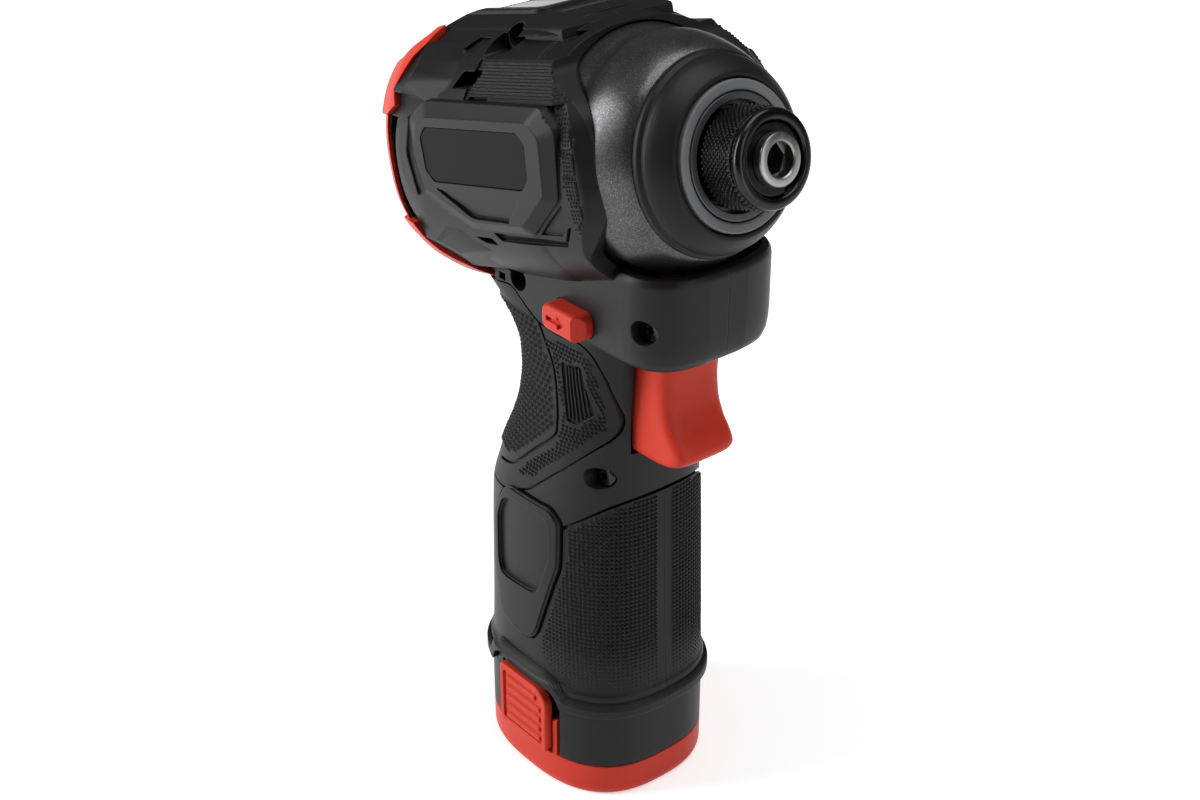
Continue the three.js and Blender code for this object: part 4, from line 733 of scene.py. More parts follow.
def box_form(name):
    """The open box with a drafted front that turns in at its foot."""
    rings = []
    for inset, height in [(4.2, 128.0), (2.4, 128.4), (1.2, 129.4), (0.45, 131.2), (0.1, 133.8),
                          (0, 136.5), (0, 148.9), (0.2, 149.9), (0.7, 150.7), (1.5, 151.0)]:
        outline = np.array(box_outline(-box_back))
        share = np.clip((outline[:, :1] - 16) / 20, 0, 1) if height < 140 else 1
        ring = outline + (offset(outline, -inset) - outline) * share
        rings.append(in_view(ring, "plan", height))
    return loft(name, rings)


print("handle waist is", round(sum(handle_row(113)[:2]), 1), "mm deep at the trigger")

# %% [markdown]
# ## Side panels, plateau and the wavy front edge
# The wings of the barrel end in a wavy line that lets the metal case show. Raised panels sit on
# both sides and a flat plateau carries the small plate on top. Their outlines are drawn in the
# side view and pushed through the barrel.

# %% Outlines on the head
wave_edge = [
    (0, 36), (-41.2, 36), (-41.2, 25.4), (-40.6, 22.4), (-38.0, 20.1), (-32.6, 15.9), (-29.8, 12.6),
    (-28.6, 8.4), (-27.8, 3.4), (-27.5, -2.6), (-28.6, -8.8), (-32.4, -13.6), (-36.2, -17.6),
    (-36.2, -42), (0, -42),
]
panel_root = [
    (-88.6, 12.4), (-81.4, 16.6), (-38.0, 16.2), (-34.3, 11.2), (-36.6, -3.4), (-47.4, -11.8),
    (-70.6, -12.0), (-88.8, -4.6), (-91.0, 4.6),
]
panel_face = [
    (-84.7, 11.0), (-79.8, 13.4), (-41.4, 13.4), (-37.9, 9.8), (-39.4, -2.6), (-49.0, -9.9),
    (-67.8, -10.3), (-84.9, -3.6), (-86.9, 4.2),
]
label_outline = [
    (-83.0, 1.0), (-80.5, -1.6), (-46.6, -1.6), (-44.0, 1.0), (-43.0, 8.6), (-45.4, 11.0),
    (-80.5, 11.0), (-83.0, 8.6),
]
facet_outline = [(-79.2, -3.2), (-67.5, -8.75), (-53.6, -8.75), (-48.2, -3.4)]
panel_side, panel_low = 31.8, 25.0
plateau_front, plateau_back, plateau_height, plateau_half = 45.7, 93.0, 32.4, 11.0


def side_panel(name):
    root, face = (rounded(outline, 1.2, 4) for outline in (panel_root, panel_face))
    steps = ((root, panel_low), (root, 30.2), (face, 31.55), (offset(face, -0.3), panel_side))
    return loft(name, [in_view(outline, "side", -out) for outline, out in steps])


def plateau(name):
    section = [(-15.6, 25.0, 0), (-15.6, 29.6, 1.0), (-plateau_half, plateau_height, 1.4),
               (plateau_half, plateau_height, 1.4), (15.6, 29.6, 1.0), (15.6, 25.0, 0)]
    form = prism(name, rounded(section, 1.0, 4), "front", -plateau_back, -plateau_front)
    slope = [(-40, 36), (-40, 26), (-45.7, 29.5), (-50.4, 32.5), (-50.4, 36)]
    return cut(form, through("front_slope", slope, 20))


print("the panel covers", round(panel_face[2][0] - panel_face[0][0], 1), "mm of the side")

# %% [markdown]
# ## Rooms, holes and seats
# Inside, the halves leave room for the battery, the switch and the motor, and the same shapes as
# in the CAD frame are cut here, so that nothing meets when the trigger is pulled or the battery
# slides out.


# %% Rooms
pack_room = (22.5, 81.3)


def pocket(name, inset, low, high):
    """The straight room that the battery slides into."""
    foot, top = np.array([(0.9, 0.896, 0.727), (0.842, 0.795, 0.69)]) * handle_reach
    rings = []
    for height in (low, high):
        share = (height - pack_room[0]) / (pack_room[1] - pack_room[0])
        rings.append(oval_ring(*(foot + (top - foot) * share - inset), height, 3.0, 96))
    return loft(name, rings)


def rooms():
    """Every hollow inside the two halves."""
    grip_shares = [(0.72, 0.57), (0.8, 0.72), (0.8, 0.93), (0.72, 1), (-0.75, 1), (-0.55, 0.925),
                   (-0.34, 0.87), (-0.34, 0.78), (-0.44, 0.7), (-0.62, 0.57)]
    grip_outline = [(x * handle_reach, z * handle_top) for x, z in grip_shares]
    box_room = prism("box_room", offset(box_outline(-5), -box_wall), "plan", box_floor + box_wall, 156)
    motor = turned("motor_room", [
        (102, 0), (102, 7.3), (97.8, 7.3), (97.8, 24.5), (48, 24.5), (48, 28.3), (47.7, 28.3),
        (41.9, 28.1), (35.5, 27.3), (29.2, 25.9), (23.9, 24.2), (21.3, 23.5), (-3, 23.5), (-3, 0),
    ])
    return [pocket("battery_room", 0, *pack_room), through("grip_room", grip_outline, 12.5), box_room,
            moved(motor, head)]


print("rooms for battery, switch, box and motor are ready")

# %% [markdown]
# ## Openings, arches and vents
# Screw holes, vents, the trigger slot and the selector slot go through the shell. The arch over
# each release button lets the thumb reach it and is framed by a raised bead.

# %% Openings
arch_outline = [(-15.2, 22.5), (-13.6, 28.2), (-10.2, 31.0), (7.6, 31.0), (11.8, 29.0), (13.6, 25.4),
                (14.0, 22.5)]
arch_way = rounded(arch_outline, 2.4, 5)
screw_places = {"box": (38, 138.5, 14), "grip": (20, 93, 12), "neck": (-4.5, 136.4, 14.5)}
top_screw = head @ Vector((-62.0, 0, 27.8))
screw_places["top"] = (top_screw.x, top_screw.z, 10.4)


def circle(x, z, radius, count=40):
    angles = np.arange(count) * math.tau / count
    return np.stack([x + radius * np.cos(angles), z + radius * np.sin(angles)], axis=1)


def screw_hole(name, x, z, seat):
    """Straight from the outside to the screw head's seat, then a narrow way for the shank."""
    wide = prism(name, circle(x, z, 2.95), "side", -34, -seat + 0.25)
    return join(wide, prism("shank_way", circle(x, z, 1.55, 24), "side", -seat - 0.2, 10.75))


def openings():
    holes = [screw_hole(f"hole_{key}", *place) for key, place in screw_places.items()]
    selector_slot = rounded(rectangle((9.4, 22.6), (130.7, 137.5)), 2.5, 6)
    return [*holes, through("trigger_slot", rectangle((17.2, 47), (99.3, 128)), 9.8),
            through("selector_slot", selector_slot, 31), through("arch", arch_way, 31)]


def vents():
    """Slanted vents high and low in each side."""
    upper = [(-73.8, 18.8), (-67.4, 18.8), (-64.6, 22.2), (-71.0, 22.2)]
    lower = [(-72.3, -14.4), (-66.0, -14.3), (-64.6, -16.1), (-69.6, -15.9)]
    return [one_side("vent", rounded(shape, 0.4, 3), side, 17, 34)
            for shape in (upper, lower) for side in (-1, 1)]


print("screws at", {key: (round(x, 1), round(z, 1)) for key, (x, z, seat) in screw_places.items()})

# %% [markdown]
# ## Regions of the soft grips and the badge
# The soft grips and the shield lie in shallow seats. Each region is an outline in the side view,
# kept between two skins of the handle, so that seat and grip always follow the same curve.

# %% Grip and badge regions
grip_upper = [
    (-36.0, 128.4), (-13.0, 132.6), (-7.1, 133.8), (-2.1, 130.7), (2.6, 128.0), (11.0, 127.4),
    (17.8, 128.2), (21.0, 126.2), (22.6, 121.4), (23.9, 108.6), (22.9, 104.2), (14.6, 95.9),
    (0.2, 83.0), (-10.0, 78.7), (-36.0, 76.3),
]
grip_lower = [
    (12.9, 77.6), (16.9, 80.6), (22.9, 85.4), (26.0, 87.0), (40, 87.0), (40, 31.6), (13.6, 31.6),
    (5.4, 38.6), (5.4, 43.0), (12.6, 66.6),
]
badge_shape = [
    (-9.4, 79.3), (-6.2, 81.2, 1.0), (9.0, 81.5, 1.6), (12.0, 78.6, 1.6), (12.0, 66.4, 2.4),
    (4.4, 43.0, 2.6), (1.6, 40.6), (-3.4, 40.2), (-10.6, 42.4, 2.6), (-13.4, 53.0), (-14.2, 71.5, 2.4),
]
badge_inner = [
    (-6.2, 77.6, 0.7), (6.6, 78.2, 1.0), (8.3, 76.2, 1.0), (8.5, 67.4, 1.6), (5.0, 57.0, 1.2),
    (2.8, 55.6), (-9.8, 54.6, 1.6), (-11.2, 58.0), (-11.4, 70.6), (-9.2, 75.6),
]
rear_patch = [
    (-36, 130.4), (-9.2, 131.0), (-2.2, 130.4), (2.4, 128.6), (8.0, 119.2), (9.2, 110.0),
    (8.9, 102.6), (-6.2, 88.2), (-36, 82.6),
]
grip_depth, badge_depth, badge_proud, half_seam = 1.2, 0.9, 0.5, 0.035


def region(name, outline, grow=0.0, soft=2.2, side=0):
    """An outline through the whole handle, or through its right (-1) or left (1) side."""
    reach = {0: (-31, 31), -1: (-31, -half_seam), 1: (half_seam, 31)}[side]
    return prism(name, offset(rounded(outline, soft, 5), grow), "side", *reach)


def grip_seat(outline, depth, grow, side=0):
    seat = region("seat", outline, grow, side=side)
    return cut(seat, handle("seat_floor", depth, 20, 150))


print("the upper grip covers", round(max(z for x, z in grip_upper) - 77), "mm of the handle")

# %% [markdown]
# ## Assemble the two halves
# First everything that stands proud is joined, then the rooms and openings are cut, and last the
# solid is parted along the middle, with a hair of a gap that shows as the seam.

# %% Relief that follows a surface
beyond_edge = 24.0


def surface_of(piece):
    """A piece's faces in a form that rays can be sent at."""
    shape = bmesh.new()
    shape.from_mesh(piece.data)
    tree = BVHTree.FromBMesh(shape)
    shape.free()
    return tree


def seen_from(tree, side, x, z):
    """Where a ray from one side meets a surface, and the normal there."""
    return tree.ray_cast(Vector((x, side * 60, z)), Vector((0, -side, 0)))[:2]


def on_side(tree, outline, side, rise):
    """A side-view outline laid on a surface and lifted out of it by rise."""
    points = []
    for x, z in outline:
        hit, normal = seen_from(tree, side, x, z)
        out = abs(hit.y) if hit is not None else beyond_edge
        points.append((x, side * (out + rise), z))
    return np.array(points)


def raised(name, tree, outline, rise, side, soften=0.4):
    """A low block that stands on a surface, with a rounded rim."""
    steps = [(0, -1.6), (0, rise - soften), (-0.3 * soften, rise - 0.3 * soften), (-soften, rise)]
    return loft(name, [on_side(tree, offset(outline, grow), side, up) for grow, up in steps])


def sunk(name, tree, outline, depth, side, draft=0.25):
    """A cutter that takes a recess of one depth out of a surface."""
    return loft(name, [on_side(tree, offset(outline, -draft), side, -depth),
                       on_side(tree, offset(outline, draft), side, 4)])


def planed(name, outline, near, tilt, side, start=50):
    """A solid from start in to a flat plane through near, which tilts along x and along z."""
    inner, outer = [], []
    for x, z in outline:
        inner.append((x, side * (near[1] + tilt[0] * (x - near[0]) + tilt[1] * (z - near[2])), z))
        outer.append((x, side * start, z))
    return loft(name, [inner, outer])


def groove_line(points, width):
    """A closed thin outline that follows a polyline at a width."""
    points = np.array(points, float)
    ahead = np.gradient(points, axis=0)
    ahead /= np.linalg.norm(ahead, axis=1)[:, None]
    beside = np.stack([-ahead[:, 1], ahead[:, 0]], axis=1) * width / 2
    return np.concatenate([points + beside, (points - beside)[::-1]])


print("relief helpers are ready")

# %% Relief of one side of the head
rib_field = [(-68.6, 16.2), (-30.0, 16.2), (-36.0, 21.0), (-40.6, 24.5), (-66.6, 24.5)]
upper_shelf = [(-64.2, 24.4), (-41.2, 24.4), (-42.6, 28.2), (-62.2, 28.2)]
rear_root = [(-99, 16.6), (-84.6, 16.6), (-80.4, 15.0), (-74.4, 20.4), (-74.4, 24.2), (-77.4, 28.0),
             (-99, 28.0)]
rear_face = [(-99, 18.0), (-91.8, 18.0), (-89.8, 19.6), (-87.8, 22.4), (-87.6, 24.8), (-89.6, 27.4),
             (-99, 27.4)]
low_root = [(-98, -13.0), (-83.0, -13.0), (-77.2, -13.3), (-69.8, -17.9), (-74.0, -24.0), (-98, -24.0)]
low_face = [(-98, -16.5), (-88.0, -16.5), (-86.8, -16.7), (-81.9, -19.7), (-84.0, -24.0), (-98, -24.0)]
outer_ridge = [(-88.4, 13.2), (-92.6, 10.0), (-94.6, 4.6), (-94.4, -1.0), (-91.4, -5.6), (-88.6, -5.4),
               (-90.4, 4.6)]
front_pads = [
    [(-33.9, 12.2), (-32.0, 12.4), (-31.0, 10.9), (-30.9, 7.6), (-34.2, 7.2)],
    [(-34.2, 6.0), (-30.9, 6.3), (-30.7, 2.2), (-34.4, 1.7)],
    [(-34.5, 0.5), (-30.7, 0.9), (-30.7, -3.4), (-34.9, -3.6)],
    [(-34.6, -4.8), (-30.7, -4.6), (-30.9, -7.4), (-33.2, -9.8)],
]
facet_line = [(-79.6, -3.1), (-75.8, -4.9), (-71.6, -6.9), (-67.8, -8.7), (-63.0, -8.9), (-53.4, -8.9)]
skirt_wedge = [(-64.4, -12.5), (-46.2, -12.6), (-39.4, -12.9), (-36.4, -9.0), (-35.2, -9.6),
               (-39.4, -14.6), (-62.2, -14.9)]
small_facet = [(-36.6, -4.2), (-35.2, -8.8), (-39.4, -12.0), (-47.0, -12.0)]


# Outline and depth of what is sunk below the skin of each side
side_cuts = [
    (rectangle((-61.6, -43.4), (27.0, 28.3)), 2.4),
    ([(-67.6, 16.3), (-39.6, 16.1), (-38.8, 17.2), (-66.8, 17.3)], 1.6),
    (skirt_wedge, 0.9),
    (small_facet, 0.7),
    (rounded([(-77.6, 25.2), (-70.0, 25.4), (-68.0, 28.2), (-73.0, 28.4)], 0.4), 1.3),
    (rounded([(-66.8, 24.8), (-64.6, 24.4), (-62.0, 26.0), (-62.4, 28.6), (-65.6, 29.0),
              (-66.8, 27.2)], 0.8, 4), 7.0),
]
field_foot, field_tilt = (-50, 28.0, 16.2), (0, -0.69)
shelf_foot, shelf_tilt = (-50, 22.0, 24.4), (0, -1.84)


def block(name, tree, root, face, rise, side):
    """A block whose face is smaller than its root, so that its front falls away in facets."""
    root, face = rounded(root, 0.5, 2), rounded(face, 0.5, 2)
    return loft(name, [on_side(tree, root, side, -2.5), on_side(tree, root, side, 0.05),
                       on_side(tree, face, side, rise)])


def head_side_adds(tree, side):
    """What stands proud on one side, and what carries the rib field forward to the wavy edge."""
    fill = [(-60.0, 16.2), (-30.0, 16.2), (-36.0, 21.0), (-40.6, 24.5), (-60.0, 24.5)]
    pads = [raised("front_pad", tree, rounded(pad, 0.5, 3), 0.4, side, 0.2) for pad in front_pads]
    return [planed("field_fill", fill, field_foot, field_tilt, side, 17),
            block("rear_block", tree, rear_root, rear_face, 2.3, side),
            block("low_block", tree, low_root, low_face, 1.7, side),
            raised("outer_ridge", tree, rounded(outer_ridge, 0.8, 3), 0.75, side), *pads]


def head_side_cuts(tree, side):
    """What is taken out of one side before the panel is set on."""
    return [planed("rib_field", rib_field, field_foot, field_tilt, side),
            planed("upper_shelf", upper_shelf, shelf_foot, shelf_tilt, side),
            *(sunk("recess", tree, outline, depth, side) for outline, depth in side_cuts)]


print("relief outlines:", len(front_pads), "pads and", len(rib_field), "corners of the rib field")

# %% The housing halves
wings = barrel("wings")
skin = surface_of(wings)
for side in (-1, 1):
    cut(wings, *head_side_cuts(skin, side))
    join(wings, *head_side_adds(skin, side))
join(wings, side_panel("panel_right"), mirrored(side_panel("panel_twin"), "panel_left"))
bpy.data.objects.remove(bpy.data.objects["panel_twin"])
join(wings, plateau("plateau"))
cut(wings, prism("front_trim", rounded(wave_edge, 2.0, 6), "side", -36, 36))
for side in (-1, 1):
    edge = rounded(wave_edge, 2.0, 6)
    edge = edge[edge[:, 0] < -1]
    edge = np.concatenate([[(0, edge[0][1])], edge, [(0, edge[-1][1])]])
    bevel = [offset(edge, grow) for grow in (-0.4, 0.1, 2.3, 2.6)]
    cut(wings, loft("wave_bevel", [in_view(line, "side", side * depth)
                                   for line, depth in zip(bevel, (23.6, 25.0, 28.2, 34.0))]))
frame_rim = prism("frame_rim", rounded([(-93.6, -11.4), (-58.0, -11.4), (-58.0, 11.4), (-93.6, 11.4)],
                                       4.0, 6), "plan", 26, 33.2, 0.5, 3)
join(wings, frame_rim)
cut(wings, prism("frame_room", rounded([(-90.2, -9.2), (-60.4, -9.2), (-60.4, 9.2), (-90.2, 9.2)],
                                       2.8, 6), "plan", 31.9, 36))
cut(wings, prism("rear_slope", [(-112, 36), (-112, 17.8), (-99.3, 24.8), (-96.6, 26.2), (-93.2, 27.8),
                                (-90.2, 30.4), (-86.4, 32.2), (-80, 33.4), (-80, 36)], "side", -15.9, 15.9))
cap_seat = prism("cap_seat", rounded([(-87.3, -8.3), (-62.7, -8.3), (-62.7, 8.3), (-87.3, 8.3)], 2.2),
                 "plan", 30.8, 36)
cut(wings, cap_seat, *vents())
flat = surface_of(wings)
for side in (-1, 1):
    label_seat = prism("label_seat", rounded(label_outline, 0.8, 4), "side",
                       *sorted((side * 36, side * (panel_side - 1.05))))
    facet = planed("facet", facet_outline, (-48, panel_side + 0.05, -3.4), (0.012, 0.15), side)
    line = groove_line(flowing(facet_line, 2, closed=False), 0.75)
    cut(wings, label_seat, facet, sunk("facet_line", flat, line, 1.5, side, 0.1))
moved(wings, head)

housing = join(wings, handle("handle"), box_form("box"))
for proud, low, high, reach in ((0.45, 25.5, 29.3, 3.0), (0.75, 25.5, 28.9, 2.65), (0.95, 25.5, 28.4, 2.2),
                                (1.05, 25.7, 27.9, 1.7)):
    band = prism("collar_band", [(-40, low), (40, low), (40, high), (-40, high)], "side", -40, 40)
    arch = prism("arch_band", rounded(offset(arch_outline, reach), 3.0, 6), "side", -40, 40)
    collar = keep(handle("collar", -proud, 25.5, 31.5), band)
    join(housing, collar, keep(handle("arch_bead", -proud, 25.5, 36), arch))
cut(housing, *rooms())
cut(housing, *openings())
cut(housing, grip_seat(grip_upper, grip_depth, 0.5), grip_seat(grip_lower, grip_depth, 0.02),
    grip_seat(badge_shape, badge_depth + 0.3, 0.5, side=-1))
for x, z in ((-14.6, 134.4), (-10.6, 134.9)):
    slot = through("neck_vent", rectangle((x - 1.2, x + 1.2), (z - 0.9, z + 0.9)), 31)
    cut(housing, cut(slot, handle("vent_floor", 2.2, 120, 150)))
top_line = [(6.0, 72.0), (12.7, 77.6), (16.7, 80.6), (22.7, 85.4), (25.8, 87.2), (40, 87.2)]
line_room = prism("line_room", groove_line(top_line, 0.9), "side", -31, 31)
cut(housing, cut(line_room, handle("line_floor", 0.9, 60, 100)))
print("the housing has", len(housing.data.polygons), "faces before it is parted")


# %% Part the halves
def halves(whole, name):
    """The right and left parts of a piece, a hair apart at the seam."""
    right, left = whole, copy_of(whole, f"{name}_left")
    keep(right, cube("right_side", (-60, 60), (-50, -half_seam), (-5, 240)))
    keep(left, cube("left_side", (-60, 60), (half_seam, 50), (-5, 240)))
    return right, left


housing_right, housing_left = halves(housing, "housing")
print("right half:", len(housing_right.data.polygons), "faces; left half:",
      len(housing_left.data.polygons))

# %% [markdown]
# ## Studs, ribs and knurls with Geometry Nodes
# Grips carry hundreds of small raised pyramids in rows. Each one sits on the moulded surface and
# points straight out of it. Rays find the places, and a Geometry Nodes tree puts one low-poly
# stud on every place, turned to its own normal, then makes them real and gives them a finish.


# %% The stud tree
def stud_tree():
    """Puts a tapered block on each point, along its normal and direction."""
    tree = bpy.data.node_groups.new("studs", "GeometryNodeTree")
    face = tree.interface
    face.new_socket("Geometry", in_out="INPUT", socket_type="NodeSocketGeometry")
    for name, value in (("Stud", None), ("Finish", None), ("Width", 0.7), ("Length", 0.7),
                        ("Height", 0.3)):
        kind = {"Stud": "NodeSocketObject", "Finish": "NodeSocketMaterial"}.get(name, "NodeSocketFloat")
        socket = face.new_socket(name, in_out="INPUT", socket_type=kind)
        if value is not None:
            socket.default_value = value
    face.new_socket("Geometry", in_out="OUTPUT", socket_type="NodeSocketGeometry")
    add = tree.nodes.new
    ask, give = add("NodeGroupInput"), add("NodeGroupOutput")
    out, along, size = (add("GeometryNodeInputNamedAttribute") for _ in range(3))
    for node, name in ((out, "out"), (along, "along"), (size, "size")):
        node.data_type = "FLOAT" if name == "size" else "FLOAT_VECTOR"
        node.inputs["Name"].default_value = name
    turn = add("FunctionNodeAxesToRotation")
    turn.primary_axis, turn.secondary_axis = "Z", "X"
    shape = add("ShaderNodeCombineXYZ")
    scaled = add("ShaderNodeVectorMath")
    scaled.operation = "SCALE"
    stud = add("GeometryNodeObjectInfo")
    place = add("GeometryNodeInstanceOnPoints")
    real = add("GeometryNodeRealizeInstances")
    dress = add("GeometryNodeSetMaterial")
    link = tree.links.new
    link(out.outputs["Attribute"], turn.inputs["Primary Axis"])
    link(along.outputs["Attribute"], turn.inputs["Secondary Axis"])
    for axis, name in enumerate(("Length", "Width", "Height")):
        link(ask.outputs[name], shape.inputs[axis])
    link(shape.outputs[0], scaled.inputs[0])
    link(size.outputs["Attribute"], scaled.inputs["Scale"])
    link(ask.outputs["Stud"], stud.inputs["Object"])
    link(ask.outputs["Geometry"], place.inputs["Points"])
    link(stud.outputs["Geometry"], place.inputs["Instance"])
    link(turn.outputs["Rotation"], place.inputs["Rotation"])
    link(scaled.outputs[0], place.inputs["Scale"])
    link(place.outputs[0], real.inputs[0])
    link(real.outputs[0], dress.inputs["Geometry"])
    link(ask.outputs["Finish"], dress.inputs["Material"])
    link(dress.outputs[0], give.inputs[0])
    return tree


def stud_shape(name, top, sink=0.5):
    """A block of unit size whose top is narrower, sunk below the surface by sink."""
    foot = np.array([(-0.5, -0.5), (0.5, -0.5), (0.5, 0.5), (-0.5, 0.5)])
    rings = [in_view(foot * 1.0, "plan", -sink), in_view(foot, "plan", 0),
             in_view(foot * top, "plan", 1)]
    return loft(name, rings)


studs = stud_tree()
pyramid = stud_shape("pyramid", 0.24)
ridge = stud_shape("ridge", 0.55)
peg = stud_shape("peg", 0.5)
print("the stud tree has", len(studs.nodes), "nodes")


# %% Place the studs
def ask(modifier, name, value):
    """Sets a tree's input by its socket's identifier."""
    for item in modifier.node_group.interface.items_tree:
        if item.item_type == "SOCKET" and item.in_out == "INPUT" and item.name == name:
            modifier[item.identifier] = value


def stud_piece(name, places, outs, alongs, sizes, stud, material, length, width, height):
    """One mesh of studs at the given places, with their normals, directions and sizes."""
    mesh = bpy.data.meshes.new(name)
    mesh.from_pydata([tuple(place) for place in places], [], [])
    for key, values in (("out", outs), ("along", alongs)):
        mesh.attributes.new(key, "FLOAT_VECTOR", "POINT").data.foreach_set(
            "vector", np.array(values, np.float32).ravel())
    mesh.attributes.new("size", "FLOAT", "POINT").data.foreach_set(
        "value", np.array(sizes, np.float32))
    piece = bpy.data.objects.new(name, mesh)
    scene.collection.objects.link(piece)
    step = piece.modifiers.new("studs", "NODES")
    step.node_group = studs
    for key, value in (("Stud", stud), ("Finish", material), ("Length", length),
                       ("Width", width), ("Height", height)):
        ask(step, key, value)
    bake(piece)
    for key in ("out", "along", "size"):
        if key in piece.data.attributes:
            piece.data.attributes.remove(piece.data.attributes[key])
    return piece


def within(outline, x, z):
    """Whether a point lies inside an outline."""
    inside = False
    for (ax, az), (bx, bz) in zip(outline, [*outline[1:], outline[0]]):
        if (az > z) != (bz > z) and x < ax + (z - az) * (bx - ax) / (bz - az):
            inside = not inside
    return inside


print("stud helpers are ready")

# %% [markdown]
# ## Soft grips
# The upper grip has three textures: pyramids behind a groove at the palm, fine dots at the side
# and upright ribs under the fingertip. The lower grip has square dots that fade towards the foot.


# %% Grip skins
def grip_skin(name, outline, side, proud=0.0):
    skin = keep(region(name, outline, -0.02, side=side), handle("outer", -proud, 20, 150, 160))
    return cut(skin, handle("inner", grip_depth, 20, 150, 96))


patch_line = flowing([(2.0, 130.4), (5.2, 125.2), (8.2, 120.0), (9.3, 115.4), (9.8, 109.6), (9.8, 104.6),
                      (8.8, 100.8), (2.0, 94.6), (-6.3, 87.2), (-14, 84.6)], 4, closed=False)
finger_panel = [(11.2, 121.4), (17.6, 122.6), (20.1, 110.2), (15.6, 106.2), (12.8, 106.4)]


def upper_grip(side):
    label = "right" if side < 0 else "left"
    skin = grip_skin(f"grip_upper_{label}", grip_upper, side)
    reach = (-31, -5) if side < 0 else (5, 31)
    trench = prism("trench", groove_line(patch_line, 0.8), "side", *reach)
    cut(skin, cut(trench, handle("trench_floor", 0.9, 60, 145)))
    panel = prism("panel", rounded(finger_panel, 0.8, 4), "side", *reach)
    return cut(skin, cut(panel, handle("panel_floor", 0.6, 60, 145)))


grips = {}
for side, label in ((-1, "right"), (1, "left")):
    grips["upper", label] = upper_grip(side)
    grips["lower", label] = grip_skin(f"grip_lower_{label}", grip_lower, side)
print("grip faces:", {key: len(piece.data.polygons) for key, piece in grips.items()})


# %% Grip textures
def wrap_field(tree, low, high, angles, pitch, keep_place, stagger=True, fade=None):
    """Places on rings round the handle, evenly spaced along its skin."""
    places, outs, alongs, sizes = [], [], [], []
    for row, z in enumerate(np.arange(low, high, pitch[1])):
        arc = np.radians(np.linspace(*angles, 400))
        ring = []
        for angle in arc:
            way = Vector((math.cos(angle), math.sin(angle), 0))
            ring.append(tree.ray_cast(Vector((0, 0, z)) + way * 60, -way))
        travelled, last = pitch[0] * (0.5 if stagger and row % 2 else 0.0), None
        for hit, normal, _, _ in ring:
            if hit is None:
                last = None
                continue
            if last is not None:
                travelled += (hit - last).length
            last = hit
            if travelled < pitch[0]:
                continue
            travelled -= pitch[0]
            size = fade(hit.x, hit.z) if fade else 1.0
            if keep_place(hit) and size > 0.22:
                places.append(hit)
                outs.append(normal)
                alongs.append((0, 0, 1))
                sizes.append(size)
    return places, outs, alongs, sizes


def lower_fade(x, z):
    return min(1.0, max(0.0, (z - 25) / 20), max(0.5, (x + 4) / 9))


def merge(base, *others):
    """Puts more shells into one mesh."""
    shape = bmesh.new()
    for piece in (base, *others):
        shape.from_mesh(piece.data)
    shape.to_mesh(base.data)
    shape.free()
    for piece in others:
        bpy.data.objects.remove(piece)
    return base


dots_lower = offset(grip_lower, -0.7)
dots_upper = [(5.9, 125.4), (17.4, 126.6), (20.0, 125.0), (21.0, 121.0), (22.2, 109.0), (21.4, 105.6),
              (13.4, 97.8), (0.4, 86.4), (-4.2, 86.0), (9.6, 99.4), (10.9, 103.6), (11.0, 110.0),
              (9.5, 119.6)]
for side, label in ((-1, "right"), (1, "left")):
    tree = surface_of(grips["lower", label])
    outline = dots_lower.tolist()
    spots = wrap_field(tree, 32.0, 86.4, (side * 1, side * 125), (1.16, 1.16), lambda hit: (
        abs(hit.y) > 2.6 and within(outline, hit.x, hit.z)), False, lower_fade)
    dots = stud_piece("dots", *spots, peg, soft_black, 0.84, 0.84, 0.42)
    merge(grips["lower", label], dots)
    tree = surface_of(grips["upper", label])
    panel = offset(finger_panel, 0.5).tolist()
    spots = wrap_field(tree, 84.0, 128.0, (side * 10, side * 115), (1.12, 1.1), lambda hit: (
        within(dots_upper, hit.x, hit.z) and not within(panel, hit.x, hit.z)), False)
    dots = stud_piece("fine_dots", *spots, peg, soft_black, 0.86, 0.86, 0.42)
    palm_edge = offset(rear_patch, -1.2).tolist()
    spots = wrap_field(tree, 84.5, 129, (side * 178, side * 58), (1.75, 1.5),
                       lambda hit: within(palm_edge, hit.x, hit.z))
    palm = stud_piece("palm_pyramids", *spots, pyramid, soft_black, 1.6, 1.6, 0.62)
    ribs = []
    inside = offset(finger_panel, -0.75).tolist()
    for number in range(8):
        for z in np.arange(107.0, 122.0, 0.4):
            x = 12.5 + number * 1.0 - (z - 108) * 0.05
            if within(inside, x, z):
                ribs.append((*seen_from(tree, side, x, z), (-0.05, 0, 1), 1.0))
    ribs = stud_piece("finger_ribs", *zip(*ribs), ridge, soft_black, 0.5, 0.56, 0.62)
    merge(grips["upper", label], dots, palm, ribs)

strip = [(-37.4, 14.6), (-34.8, 15.8), (-32.4, 13.2), (-31.0, 10.0), (-30.4, 4.0), (-30.3, -3.0),
         (-31.0, -8.0), (-33.6, -11.4), (-34.6, -10.0), (-33.6, -8.0), (-34.8, 2.0), (-34.2, 10.4)]
ribbed = offset(rib_field, -0.5).tolist()
for side, half in ((-1, housing_right), (1, housing_left)):
    lines, dots = [], []
    for z in np.arange(16.9, 24.4, 0.62):
        for x in np.arange(-67.4, -31.0, 0.9):
            if within(ribbed, x, z):
                lines.append((x, z))
    for z in np.arange(-12.4, 15.8, 0.86):
        for x in np.arange(-37.0, -29.0, 0.86):
            if within(strip, x, z):
                dots.append((x, z))
    for label, spots, stud, size in (("field_ribs", lines, ridge, (1.0, 0.4, 0.24)),
                                     ("strip_dots", dots, peg, (0.6, 0.6, 0.26))):
        found = []
        for x, z in spots:
            hit, normal = seen_from(flat, side, x, z)
            if hit is not None:
                found.append((hit, normal, (1, 0, 0), 1.0))
        rows = stud_piece(label, *zip(*found), stud, shell_black, *size)
        merge(half, moved(rows, head))
